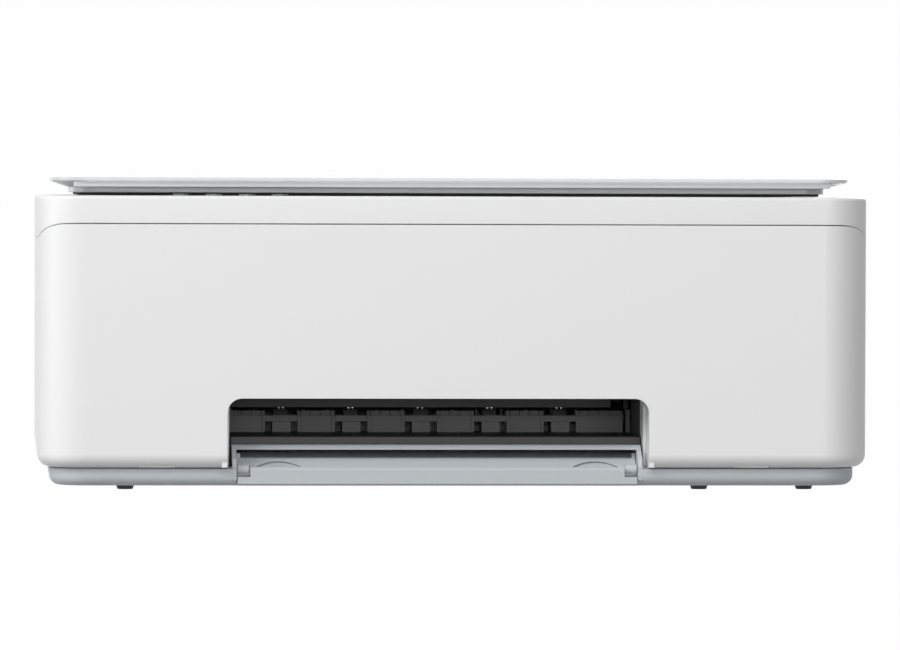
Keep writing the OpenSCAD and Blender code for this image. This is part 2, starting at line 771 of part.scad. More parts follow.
// Sprung arms that press the pinch rollers down, hung from a cross bar on the rail
pinch_width = 30;
pinch_places = [for (i = [-2:2]) path_x + i * 42];
module pinch_holder() {
  y = feed_axis[0];
  color(dark) difference() {
    union() {
      for (x = pinch_places) both(x, pinch_width / 2 + 1.7)
        along_x(-1, 1) polygon([[y - 3, pinch_axis[1] - 1.8], [y - 3, pinch_axis[1] + 2.6], [y + 8,
          pinch_axis[1] + 6.5],
          [rail_face, pinch_axis[1] + 15], [rail_face, pinch_axis[1] + 9], [y + 8, pinch_axis[1] + 2],
            [y + 3, pinch_axis[1] - 1.8]]);
      block([pinch_places[0] - pinch_width / 2 - 2.7, y + 14, pinch_axis[1] + 5.6],
        [pinch_places[4] + pinch_width / 2 + 2.7, y + 20, pinch_axis[1] + 8]);
      block([pinch_places[0] - pinch_width / 2 - 2.7, rail_face - 2, pinch_axis[1] + 9],
        [pinch_places[4] + pinch_width / 2 + 2.7, rail_face, pinch_axis[1] + 15]);
    }
    bar_x(-half_w, half_w, pinch_axis, pinch_pin + running_fit);
  }
}

// Free-running pinch rollers on their pins
module pinch_rollers() {
  color(nylon) for (x = pinch_places) {
    bar_x(x - pinch_width / 2, x + pinch_width / 2, pinch_axis, pinch_radius);
    bar_x(x - pinch_width / 2 - 2.6, x + pinch_width / 2 + 2.6, pinch_axis, pinch_pin);
  }
}

// Steel frame: rail plate with folded edges, two side plates and a short middle plate
module mech_frame() {
  left = -left_plate_x;
  right = right_plate_x;
  color(metal) difference() {
    union() {
      block([left - steel, rail_face, pinch_axis[1] + 8], [right, rail_face + steel, rail_top]);
      block([left - steel, rail_face, rail_top - steel], [right, rail_face + 12, rail_top]);
      for (x = [left - steel, right - steel]) along_x(x, x + steel) polygon([
        [plate_front, plate_bottom], [plate_front, 70], [rail_face - 30, rail_top - 6],
        [rail_face + 12, rail_top], [rail_face + 12, plate_bottom]]);
      block([mid_plate_x - steel / 2, plate_front, plate_bottom], [mid_plate_x + steel / 2, rail_face - 4,
        feed_z + 6]);
    }
    bar_x(left - steel - past, mid_plate_x + 5, feed_axis, 3 + running_fit);
    bar_x(left - steel - past, left + past, eject_axis, eject_shaft + running_fit);
    bar_x(left - steel - past, left + past, idler_axis, 2);
    bar_x(left - steel - past, right + past, rod_axis, rod_radius);
    bar_x(left - steel - past, left + past, pinion_axis, 1 + clear);
    for (x = [drive_x, idle_x]) bar_y(rail_face - past, rail_face + steel + past, [x, belt_z],
      1.5 + running_fit);
    // Windows that lighten the side plates
    for (x = [left - steel - past, right - steel - past]) translate([x, rail_face - 46,
      84]) cube([steel + 2 * past, 18, 9]);
  }
}
drive_x = right_plate_x - 14;
idle_x = -left_plate_x + 12;

// Polished rod that the carriage slides on
module guide_rod() {
  color(pale) bar_x(-left_plate_x - steel - 1, right_plate_x + 1, rod_axis, rod_radius);
}

// Idler gear on its stud
module idler_gear() {
  color(nylon) {
    along_x(gear_x, gear_x + gear_width) translate(idler_axis) gear_outline(idler_teeth, idler_phase);
    bar_x(gear_x, -left_plate_x, idler_axis, 2 - running_fit);
  }
}

// Motor that drives the rollers, its flange against the left side plate
module paper_motor() {
  color(metal) difference() {
    union() {
      bar_x(-left_plate_x + 1.2, -left_plate_x + 31, pinion_axis, 13);
      bar_x(-left_plate_x, -left_plate_x + 1.2, pinion_axis, 10);
      bar_x(-left_plate_x + 31, -left_plate_x + 34, pinion_axis, 5);
    }
    bar_x(-left_plate_x - past, -left_plate_x + 20, pinion_axis, 1 + running_fit);
  }
}

// Brass pinion on the motor's shaft
module motor_pinion() {
  color(brass) {
    along_x(gear_x, gear_x + gear_width) translate(pinion_axis) gear_outline(pinion_teeth, pinion_phase);
    bar_x(gear_x + gear_width, -left_plate_x + 19, pinion_axis, 1);
  }
}

// Carriage: an open box for two cartridges, with a bearing round the guide rod
carriage_front = star_rear + 2 * clear;
carriage_floor = head_z + 2;
low_back = feed_axis[0] - feed_radius - 3;
step_z = pinch_axis[1] + 14;
bay_w = (carriage_width - 3 * 2.4) / 2;
module carriage() {
  mid = carriage_park;
  skin = 2.4;
  top = cartridge_top - 8;
  color(black) difference() {
    union() {
      slice_x(mid, carriage_width) polygon([
        [carriage_front, carriage_floor + 3], [carriage_front + 3, carriage_floor], [low_back,
          carriage_floor],
        [low_back, step_z], [rod_axis[0] - 9, step_z], [rod_axis[0] - 9, top + 8],
        [rod_axis[0] - 20, top + 8], [carriage_front, top - 12]]);
      bar_x(mid - carriage_width / 2, mid + carriage_width / 2, rod_axis, rod_radius + 3.4);
      block([mid - carriage_width / 2, rod_axis[0] - 12, rod_z - 5], [mid + carriage_width / 2,
        rod_axis[0] - 3, rod_z + 5]);
    }
    both(mid, (bay_w + skin) / 2) {
      block([-bay_w / 2, carriage_front + skin, carriage_floor + skin], [bay_w / 2, low_back - skin,
        top + 20]);
      block([-bay_w / 2, low_back - skin - past, step_z + skin], [bay_w / 2, rod_axis[0] - 9 - skin,
        top + 20]);
      block([-bay_w / 2 + 4, carriage_front + skin + 6, carriage_floor - past], [bay_w / 2 - 4,
        low_back - skin - 6, carriage_floor + skin + past]);
    }
    bar_x(mid - carriage_width, mid + carriage_width, rod_axis, rod_radius + running_fit);
  }
  // Fork that grips the lower run of the belt
  grip = belt_z - pulley_radius - belt_thick / 2;
  color(black) difference() {
    block([mid - 8, rod_axis[0] + 2, rod_z + 3], [mid + 8, belt_y + belt_width + 0.6, grip + 3.4]);
    block([mid - 9, belt_y - clear, grip - belt_thick / 2 - clear], [mid + 9, belt_y + belt_width + 2,
      grip + belt_thick / 2 + clear]);
    bar_x(mid - carriage_width, mid + carriage_width, rod_axis, rod_radius + running_fit);
  }
}

// Ink cartridge: a body with a thumb ledge and a narrow print head below
module cartridge(side) {
  skin = 2.4;
  gap = clear;
  translate([carriage_park + side * (bay_w + skin) / 2, 0, 0]) {
    along_x(-bay_w / 2 + gap, bay_w / 2 - gap) polygon([
      [carriage_front + skin + gap, carriage_floor + skin], [low_back - skin - gap, carriage_floor + skin],
      [low_back - skin - gap, step_z + skin + gap], [rod_axis[0] - 9 - skin - gap, step_z + skin + gap],
      [rod_axis[0] - 9 - skin - gap, cartridge_top - 3], [rod_axis[0] - 14 - skin, cartridge_top],
      [carriage_front + skin + 14, cartridge_top], [carriage_front + skin + 12, cartridge_top - 14],
      [carriage_front + skin + gap, cartridge_top - 18]]);
    block([-bay_w / 2 + 4 + gap, carriage_front + skin + 6 + gap, head_z], [bay_w / 2 - 4 - gap,
      low_back - skin - 6 - gap, carriage_floor + skin + past]);
  }
}
module black_cartridge() color(black) cartridge(1);
module colour_cartridge() color([0.2, 0.25, 0.45]) cartridge(-1);

// Endless belt round two pulleys whose axes lie along Y
module belt_loop(x0, x1, r, t, w) {
  rotate([90, 0, 0]) translate([0, 0, -w]) linear_extrude(w) difference() {
    union() {
      translate([x0, 0]) circle(r + t);
      translate([x1, 0]) circle(r + t);
      translate([x0, -r - t]) square([x1 - x0, 2 * (r + t)]);
    }
    union() {
      translate([x0, 0]) circle(r);
      translate([x1, 0]) circle(r);
      translate([x0, -r]) square([x1 - x0, 2 * r]);
    }
  }
}
module carriage_belt() {
  color(black) translate([0, belt_y, belt_z]) belt_loop(idle_x, drive_x, pulley_radius, belt_thick,
    belt_width);
}
module pulley_y(x) {
  bar_y(belt_y, belt_y + belt_width, [x, belt_z], pulley_radius - 0.05);
  bar_y(belt_y - 0.9, belt_y, [x, belt_z], pulley_radius + belt_thick + 0.4);
}
module drive_pulley() {
  color(brass) {
    pulley_y(drive_x);
    bar_y(belt_y, rail_face + 20, [drive_x, belt_z], 1.5);
  }
}
module idler_pulley() {
  color(nylon) {
    pulley_y(idle_x);
    bar_y(belt_y, rail_face + steel + 3, [idle_x, belt_z], 1.5);
  }
}

// Motor behind the rail plate that drives the carriage belt
module carriage_motor() {
  y = rail_face + steel;
  color(metal) difference() {
    union() {
      bar_y(y, y + 1.5, [drive_x, belt_z], 9);
      bar_y(y + 1.5, y + 34, [drive_x, belt_z], 12);
      bar_y(y + 34, y + 37, [drive_x, belt_z], 4);
    }
    bar_y(y - past, y + 22, [drive_x, belt_z], 1.5 + running_fit);
  }
}

// Clear strip that the carriage reads its place from, held between the side plates
module encoder_strip() {
  color([0.7, 0.7, 0.7, 0.6]) block([-left_plate_x, rail_face - 4, rail_top - 10], [right_plate_x - steel,
    rail_face - 3.6, rail_top - 4]);
}

// Tub beside the print bed with the wiper, on the base's floor
station_left = mid_plate_x + 5 + clear;
station_right = right_plate_x - steel / 2 - 5 - clear;
station_front = plate_front + 10;
station_back = rail_face - 19;
sled_low = floor_top + 16;
sled_travel = 8;
module service_station() {
  color(dark) difference() {
    block([station_left, station_front, floor_top], [station_right, station_back, head_z - 6]);
    block([station_left + 2, station_front + 2, sled_low], [station_right - 2, station_back - 2, head_z]);
    block([station_left + 8, station_front + 8, floor_top + 2], [station_right - 8, station_back - 8,
      sled_low + past]);
  }
}

// Sled with two rubber caps that stands under the parked cartridges
module cap_sled() {
  left = station_left + 2 + sled_travel + 1.9;
  right = station_right - 12.8;
  mid = (left + right) / 2;
  cap = (right - left) / 6;
  color(nylon) {
    difference() {
      block([left, station_front + 3, sled_low + 0.3], [right, station_back - 3, head_z - 7]);
      block([left + 3, station_front + 6, sled_low + 2], [right - 3, station_back - 6, head_z]);
    }
    both(mid, 1.5 * cap) translate([0, carriage_front + 20, 0]) difference() {
      block([-cap, -9, sled_low + 1.5], [cap, 12, head_z - 1.5]);
      block([2 - cap, -7, head_z - 4], [cap - 2, 10, head_z]);
    }
  }
}

// Power supply in the back left corner
supply_left = -half_w + 16;
supply_right = -half_w + 78;
module power_supply() {
  from = rail_face + 26;
  to = back - inlet_depth;
  high = 42;
  color(black) difference() {
    translate([(supply_left + supply_right) / 2, (from + to) / 2, floor_top]) linear_extrude(high)
      rounded_rect(supply_right - supply_left, to - from, 4);
    for (i = [0:5]) translate([0, from + 20 + i * 12, floor_top + high])
      block([supply_left + 12, 0, -2], [supply_right - 12, 4, past]);
  }
}

// Two-pin inlet in the back wall, behind the power supply
inlet_x = -half_w + 47;
inlet_z = 26;
inlet_width = 21;
inlet_height = 12;
inlet_depth = 25;
module power_inlet() {
  color(black) difference() {
    block([inlet_x - inlet_width / 2 + 0.2, back - inlet_depth, inlet_z - inlet_height / 2 + 0.2],
      [inlet_x + inlet_width / 2 - 0.2, back, inlet_z + inlet_height / 2 - 0.2]);
    along_y(back - 12, back + past) for (side = [-1, 1]) translate([inlet_x + side * 4.2,
      inlet_z]) circle(4.1);
    along_y(back - 12, back + past) translate([inlet_x, inlet_z]) square([8.4, 5.4], center = true);
  }
  color(metal) for (side = [-1, 1]) bar_y(back - 12.5, back - 2, [inlet_x + side * 4.2, inlet_z], 1.2);
}

// Main circuit board with its chips and connectors, on four posts
board_z = 14;
board_top = board_z + 1.6;
board_left = path_x + portal_half + 18.8;
board_right = half_w - 18;
board_front = rail_face + 26;
board_back = back - 18;
usb_x = board_left + 28;
usb_width = 12.5;
usb_height = 11;
module main_board() {
  color(green) {
    block([board_left, board_front, board_z], [board_right, board_back, board_top]);
    for (x = [board_left + 5, board_right - 5], y = [board_front + 5, board_back - 5])
      translate([x, y, floor_top]) cylinder(h = board_z - floor_top, r = 3);
  }
  color(black) {
    translate([usb_x, board_front + 40, board_top]) linear_extrude(2.2) square([24, 24], center = true);
    translate([board_right - 25, board_front + 30, board_top]) linear_extrude(1.8) square([12, 20],
      center = true);
    for (i = [0:3]) translate([board_left + 20 + i * 14, board_front + 12, board_top]) cylinder(h = 9, r = 4);
    for (i = [0:2]) translate([board_right - 10, board_front + 50 + i * 18, board_top])
      linear_extrude(6) square([7, 14], center = true);
  }
}

// Square cable socket at the board's back edge, set back in the back wall
module usb_port() {
  face = back - socket_recess;
  color(metal) difference() {
    block([usb_x - usb_width / 2 + 0.2, back - 18, board_top], [usb_x + usb_width / 2 - 0.2, face,
      board_top + usb_height]);
    block([usb_x - usb_width / 2 + 1.2, back - 11, board_top + 1], [usb_x + usb_width / 2 - 1.2,
      face + past, board_top + usb_height - 1]);
  }
  color(metal) block([usb_x - 2.7, back - 12, board_top + 4.4], [usb_x + 2.7, face - 2, board_top + 7.6]);
}

// Sloping guide over the paper bay, with legs on the bay's walls and ears for the pick arm's shaft
module paper_guide() {
  top = guide_front;
  rear = turn_axis[0] - 4;
  color(dark) difference() {
    union() {
      slice_x(path_x, 2 * portal_half) polygon([
        [top, guide_z(top) - 2], [top, guide_z(top)], [rear, guide_z(rear)], [rear, guide_z(rear) - 2]]);
      both(path_x, portal_half - 1.25) slice_x(0, 2.5)
        polygon([[top + 12, bay_wall_top], [top + 12, guide_z(top + 12) - 1], [rear - 8,
          guide_z(rear - 8) - 1], [rear - 8, bay_wall_top]]);
      for (i = [-6:6]) slice_x(path_x + i * 16, 1.2)
        polygon([[top + 3, guide_z(top + 3) - 0.5], [top + 6, guide_z(top + 6) + 1], [rear, guide_z(rear)
          + 1], [rear, guide_z(rear) - 0.5]]);
      both(path_x, 22) slice_x(0, 3)
        polygon([[pick_pivot[0] - 5, pick_pivot[1] - 5], [pick_pivot[0] - 8, guide_z(pick_pivot[0] - 8) - 1],
          [pick_pivot[0] + 8, guide_z(pick_pivot[0] + 8) - 1], [pick_pivot[0] + 5, pick_pivot[1] - 5]]);
    }
    bar_x(path_x - 30, path_x + 30, pick_pivot, 3 + running_fit);
  }
}

// Inner drum of the U-turn behind the bay: a bar with round-nosed ribs
module uturn_guide() {
  color(dark) {
    for (i = [-6:6]) slice_x(path_x + i * 16, 2) difference() {
      translate(turn_axis) circle(turn_radius);
      translate([turn_axis[0] - turn_radius - past, 0]) square([turn_radius + past - 2, 80]);
      translate([0, 0]) square([back, tray_wall_top - 1]);
    }
    block([path_x - portal_half, turn_axis[0] - 2, bay_wall_top], [path_x + portal_half, turn_axis[0] + 4,
      bay_wall_top + 8]);
  }
}

// Ramp behind the tray that starts each sheet up the U-turn
ramp_y = back - 28.5;
ramp_end = back - shell_flange - clear;
module separation_ramp() {
  color(dark) {
    for (i = [-5:5]) slice_x(path_x + i * 18, 3) polygon([
      [ramp_y, floor_top], [ramp_y + 1.5, floor_top + 7.5], [ramp_y + 11, floor_top + 12], [ramp_end,
        floor_top + 12], [ramp_end, floor_top]]);
    block([path_x - bay_half + 6, ramp_y + 12, floor_top], [path_x + bay_half - 6, ramp_y + 15,
      floor_top + 12]);
  }
}

// Pick arm: a shaft in the guide's ears, two cheeks and a tie bar
module pick_arm() {
  way = direction(pick_pivot, pick_axis);
  color(nylon) difference() {
    union() {
      bar_x(path_x - 24.5, path_x + 24.5, pick_pivot, 3);
      both(path_x, 13) slice_x(0, 2.4) {
        translate(pick_pivot) circle(5);
        translate(pick_axis) circle(4);
        translate(pick_pivot) rotate(way) translate([0, -3.4]) square([pick_reach, 6.8]);
      }
      slice_x(path_x, 26) translate(pick_pivot) rotate(way) translate([14, -2.6]) square([16, 5.2]);
    }
    bar_x(path_x - 30, path_x + 30, pick_axis, 2 + running_fit);
  }
}

// Rubber-tyred pick roller on its axle
module pick_roller() {
  color(dark) {
    bar_x(path_x - 11.4, path_x + 11.4, pick_axis, pick_radius);
    bar_x(path_x - 15, path_x + 15, pick_axis, 2);
  }
}

// Jam door in the back wall: a panel with curved ribs that lead the sheet round the U-turn
door_axis = [back - 2, door_low + 3.5];
module rear_door() {
  half = door_width / 2 - door_gap;
  color(white) {
    block([path_x - half, back - wall, door_low + door_gap], [path_x + half, back,
      door_low + door_height - door_gap]);
    both(path_x, half - 8) bar_x(-7, 7, door_axis, 1.9);
  }
  color(dark) for (i = [-5:5]) slice_x(path_x + i * 18, 2) difference() {
    translate([turn_axis[0] + 12, turn_axis[1] - 6]) square([back - wall - turn_axis[0] - 12,
      turn_radius + 14]);
    translate(turn_axis) circle(turn_radius + 4);
  }
}

// Paper tray: floor, low side walls, sloping front hood with finger recesses, and flap ears
module paper_tray() {
  face = base_front;
  hood = face + 7;
  slope_end = roof_y + 1;
  rear = back - 34;
  color(blue_grey) {
    difference() {
      union() {
        block([path_x - tray_half, hood + 0.6, tray_floor_z], [path_x + tray_half, rear, tray_inside_z]);
        both(path_x, tray_half - tray_wall / 2)
          block([-tray_wall / 2, hood + 8, tray_floor_z], [tray_wall / 2, rear, tray_wall_top]);
        // Hood over the front of the tray
        slice_x(path_x, 2 * tray_half) polygon([
          [hood - 1.4, tray_inside_z + 1.2], [hood - 1.4, slope_low_z], [slope_end, slope_high_z],
            [slope_end + 30, 20.2],
          [slope_end + 30, 18.6], [slope_end, 15.4], [hood + 1.6, flap_top - 2.4], [hood + 1.6,
            tray_floor_z], [hood + 0.6, tray_floor_z], [hood + 0.6, tray_inside_z + 1.2]]);
      }
      both(path_x, finger_x) finger_recess(hood - 1.4, slope_end);
      translate([path_x, rack_y, 0]) cylinder(h = tray_inside_z + past, r = 2 + running_fit);
      // Slots in the tray's floor for the width guides
      for (s = [-1, 1]) translate([path_x + s * 88, rack_y + s * 6, tray_floor_z - past])
        block([-22, -3, 0], [22, 3, tray_floor + 2 * past]);
    }
    // Rounded end blocks at the front corners
    both(path_x, tray_half - 3.2) slice_x(0, 6.4) {
      translate([face + 7, flap_low_top + 0.6]) square([8, 11 - flap_low_top]);
      translate([face + 7, 11]) circle(3);
    }
    // Ears that carry the flap's pins
    for (x = flap_ears) difference() {
      slice_x(x, 3) {
        translate([flap_axis_y, flap_axis_z]) circle(2.2);
        translate([flap_axis_y, flap_axis_z]) square([hood + 1 - flap_axis_y, 2.2]);
      }
      bar_x(x - 5, x + 5, [flap_axis_y, flap_axis_z], 1.1);
    }
  }
}
// Shallow recess for a finger: a segment of a disc, level at its lower edge, sunk into the slope
slope_low_z = flap_top - 0.6;
slope_high_z = 17;
module finger_recess(y0, y1) {
  sink = 1.1;
  low = slope_low_z + 0.5;
  rise = 2.8;
  r = ((finger_width / 2) ^ 2 + rise ^ 2) / 2 / rise;
  intersection() {
    along_y(y0 - past, y1) intersection() {
      translate([0, low + rise - r]) circle(r);
      translate([-finger_width, low]) square([2 * finger_width, 2 * rise]);
    }
    along_x(-finger_width, finger_width) polygon([[y0 - past, slope_low_z - sink], [y0, slope_low_z - sink],
      [y1, slope_high_z - sink], [y1, slope_high_z + past], [y0 - past, slope_high_z + past]]);
  }
}
flap_ears = [for (side = [-1, 1]) path_x + side * 80];
flap_low_top = 7;
rack_y = -20;

// Front flap of the tray: a full-width bar below and a narrower face above it
module tray_flap() {
  face = base_front;
  low = base_bottom + 0.1;
  half = bay_half - tray_gap;
  color(blue_grey) difference() {
    union() {
      slice_x(path_x, 2 * half) polygon([
        [face, low + 1], [face + 1, low], [face + flap_thick, low], [face + flap_thick, flap_low_top],
          [face, flap_low_top]]);
      along_x(path_x - half + flap_corner, path_x + half - flap_corner) polygon([
        [face, flap_low_top - past], [face, flap_top - 1.6], [face + 1.6, flap_top],
        [face + flap_thick, flap_top], [face + flap_thick, flap_low_top - past]]);
    }
    for (x = flap_ears) along_x(x - 1.5 - clear, x + 1.5 + clear) {
      translate([flap_axis_y, flap_axis_z]) circle(2.2 + clear);
      translate([flap_axis_y, 0]) square([8, flap_top + past]);
    }
  }
  color(blue_grey) for (x = flap_ears) bar_x(x - 1.6 - clear, x + 1.6 + clear, [flap_axis_y, flap_axis_z],
    1.1 - running_fit);
}

// Paper guides in the tray: two coupled side plates on racks, and one at the sheet's lower end
guide_pinion_r = 6.6;
guide_rest = tray_half - tray_wall - 0.3 - guide_plate;
module width_guide(side) {
  face = side * guide_rest;
  low = tray_inside_z + 0.3;
  near = guide_pinion_r + clear;
  color(dark) translate([path_x, rack_y, 0]) scale([side, side, 1]) {
    block([guide_rest, -32, low], [guide_rest + guide_plate, 32, guide_top]);
    block([-14, near, low], [guide_rest + past / 2, near + 5.2, low + 1.2]);
  }
}
module left_width_guide() width_guide(-1);
module right_width_guide() width_guide(1);
module guide_pinion() {
  color(nylon) translate([path_x, rack_y, 0]) {
    translate([0, 0, tray_inside_z + 0.3]) cylinder(h = 1.2, r = guide_pinion_r);
    translate([0, 0, tray_floor_z + 0.2]) cylinder(h = tray_floor, r = 2);
  }
}
module length_guide() {
  y = front + 20;
  low = tray_inside_z + 0.3;
  color(dark) along_x(path_x + 40, path_x + 70) polygon([
    [y, low], [y, 11.6], [y + guide_plate, 11.6], [y + guide_plate, low + 1.2], [y + 16, low + 1.2],
      [y + 16, low]]);
}

// Tub of the scanner unit, with its hinge knuckles
hinge_places = [-half_w + 78, half_w - 78];
knuckle_width = 16;
half_knuckle = knuckle_width / 2;
module scanner_tub() {
  color(white) difference() {
    union() {
      block([-tub_width / 2, tub_front, tub_bottom], [tub_width / 2, tub_back, deck_under]);
      for (x = hinge_places) {
        bar_x(x - half_knuckle, x + half_knuckle, scan_hinge, knuckle_radius);
        block([x - half_knuckle, tub_back - past, hinge_z], [x + half_knuckle, scan_hinge[0],
          hinge_z + knuckle_radius]);
      }
    }
    block([-tub_width / 2 + wall, tub_front + wall, tub_bottom + wall], [tub_width / 2 - wall,
      tub_back - wall, deck_under + past]);
    for (x = hinge_places) bar_x(x - knuckle_width, x + knuckle_width, scan_hinge, hinge_pin + running_fit);
  }
  // Ribs across the tub's floor and saddles for the scan rod
  color(white) {
    for (i = [-3:3]) block([i * 55 - 0.8, tub_front + wall, tub_bottom + wall], [i * 55 + 0.8,
      tub_back - wall, tub_bottom + wall + 1]);
    both(0, tub_width / 2 - 7) difference() {
      block([-4.5, scan_rod_y - 6, tub_bottom + wall], [4.5, scan_rod_y + 6, scan_rod_z + 5]);
      bar_x(-half_w, half_w, [scan_rod_y, scan_rod_z], scan_rod_radius);
    }
  }
}
scan_rod_y = 0;
scan_rod_z = tub_bottom + wall + 7;

// Deck: top plate with the scan window, and a skirt down to the seam
module scanner_deck() {
  color(white) {
    difference() {
      union() {
        wall_ring(body_width, body_depth, body_corner) {
          translate([-wall, scan_seam]) square([wall, deck_top - deck_edge - scan_seam]);
          translate([-deck_edge, deck_top - deck_edge]) intersection() {
            circle(deck_edge);
            square(deck_edge);
          }
          translate([-body_corner + past, deck_under]) square([body_corner - past - deck_edge, wall]);
          translate([-wall, deck_under]) square([wall, deck_top - deck_edge - deck_under]);
        }
        translate([0, 0, deck_under]) linear_extrude(wall)
          square([body_width - 2 * body_corner + 4, body_depth - 2 * body_corner + 4], center = true);
      }
      difference() {
        block([-half_w - past, front - past, scan_seam - past], [half_w + past, back + past,
          front_seam + seam_gap + past]);
        along_x(-half_w - 2 * past, half_w + 2 * past) above_seam(seam_gap);
      }
      block([-window_width / 2, window_from, deck_under - past], [window_width / 2, window_to,
        deck_top + past]);
      for (i = [0:3]) translate([button_x + i * button_pitch, front + button_y, deck_under - past])
        cylinder(h = wall + 2 * past, d = button_diameter + 2 * button_gap);
    }
    // Posts that carry the button board
    for (x = [button_x - 9, button_x + 3 * button_pitch + 9]) translate([x, front + button_y, board_under])
      cylinder(h = deck_under - board_under, r = 2.5);
    // Ears for the lid's hinge
    for (x = lid_hinge_places) both(x, half_knuckle + 2.3) difference() {
      slice_x(0, 4) {
        translate(lid_hinge) circle(lid_knuckle);
        translate([lid_hinge[0] - lid_knuckle, deck_top - 0.5]) square([2 * lid_knuckle, lid_hinge_up + 0.5]);
      }
      bar_x(-20, 20, lid_hinge, hinge_pin);
    }
    for (x = lid_hinge_places) bar_x(x - half_knuckle - 4, x + half_knuckle + 4, lid_hinge, hinge_pin);
  }
}
lid_hinge_places = [-half_w + 98, half_w - 98];
button_plate = 1.4;
button_stem = 3.4;
board_under = deck_under - 0.5 - button_plate - button_stem - button_travel - 0.3 - 1.6;

// Platen glass, bonded under the window's edge
module scanner_glass() {
  color([0.8, 0.9, 0.9, 0.4]) block([-window_width / 2 - glass_bond, window_from - glass_bond, glass_bottom],
    [window_width / 2 + glass_bond, window_to + glass_bond, deck_under]);
}
module scan_rod() {
  color(pale) bar_x(-tub_width / 2 + wall, tub_width / 2 - wall, [scan_rod_y, scan_rod_z], scan_rod_radius);
}

// Scan bar: a long sensor housing on a slider that runs on the rod
module scan_bar() {
  bar_top = glass_bottom - 0.5;
  low = bar_top - 10;
  half = scan_bar_width / 2;
  color(black) translate([-scan_park, 0, 0]) {
    difference() {
      union() {
        block([-half, window_from - 3, low], [half, window_to + 3, bar_top]);
        block([-13, scan_rod_y - 7, scan_rod_z - 4.5], [13, scan_rod_y + 7, low + 1]);
      }
      bar_x(-half_w, half_w, [scan_rod_y, scan_rod_z], scan_rod_radius + running_fit);
      block([6 - half, window_from, bar_top - 1.2], [half - 6, window_to, bar_top + past]);
    }
    // Arm that grips the near run of the belt
    difference() {
      block([-6, scan_rod_y + 6, scan_belt_z - 4], [6, scan_belt_y - pulley_radius + 2.4, scan_belt_z + 4]);
      block([-7, scan_belt_y - pulley_radius - belt_thick - clear, scan_belt_z - 2.5 - clear],
        [7, scan_belt_y - pulley_radius + clear, scan_belt_z + 2.5 + clear]);
    }
  }
}
scan_belt_y = scan_rod_y + 26;
scan_belt_z = scan_rod_z;
scan_drive_x = tub_width / 2 - 16;

module scan_belt() {
  color(black) translate([0, scan_belt_y, scan_belt_z - 2.5]) rotate([90, 0, 0])
    belt_loop(-scan_drive_x, scan_drive_x, pulley_radius, belt_thick, 5);
  both(0, scan_drive_x) color(nylon) translate([0, scan_belt_y, scan_belt_z - 2.5])
    cylinder(h = 5, r = pulley_radius);
}

// Scan motor on the tub's floor, with a post for the idler pulley at the other end
module scan_motor() {
  color(metal) for (side = [-1, 1]) translate([side * scan_drive_x, scan_belt_y, tub_bottom + wall])
    cylinder(h = scan_belt_z - 2.5 - tub_bottom - wall, r = side > 0 ? 8 : 3);
}

// Hinge brackets on the casing's back wall: two ears and a pin each
module scanner_hinges() {
  color(metal) for (x = hinge_places) {
    difference() {
      union() both(x, half_knuckle + 2.3) slice_x(0, 4) {
        translate(scan_hinge) circle(knuckle_radius);
        translate([scan_hinge[0] - knuckle_radius, hinge_foot]) square([1.5 * knuckle_radius,
          hinge_z - hinge_foot]);
      }
      bar_x(x - 20, x + 20, scan_hinge, hinge_pin);
    }
    bar_x(x - half_knuckle - 4, x + half_knuckle + 4, scan_hinge, hinge_pin);
    block([x - half_knuckle - 4.3, scan_hinge[0] - knuckle_radius, hinge_foot - 14],
      [x + half_knuckle + 4.3, back - wall, hinge_foot]);
  }
}
hinge_foot = tub_bottom - 6;

// Small circuit board under the buttons
module button_board() {
  color(green) block([button_x - 13, front + wall + 1, board_under - 1.6],
    [button_x + 3 * button_pitch + 13, tub_front - 1, board_under]);
  color(black) for (i = [0:3]) translate([button_x + i * button_pitch, front + button_y,
    board_under]) cylinder(h = 1.6, r = 3);
}

// Round button: a cap through the deck, a flange that keeps it in, and a stem
module button(index) {
  translate([button_x + index * button_pitch, front + button_y, 0]) {
    translate([0, 0, deck_under - 0.6]) cylinder(h = wall + 1.6, d = button_diameter);
    translate([0, 0, deck_under - 0.5 - button_plate]) cylinder(h = button_plate, d = button_diameter + 2.4);
    translate([0, 0, board_under + 1.6 + button_travel + 0.3]) cylinder(h = button_stem, d = 4);
  }
}
module power_button() color(metal) button(0);
module cancel_button() color(metal) button(1);
module colour_button() color(metal) button(2);
module black_button() color(metal) button(3);

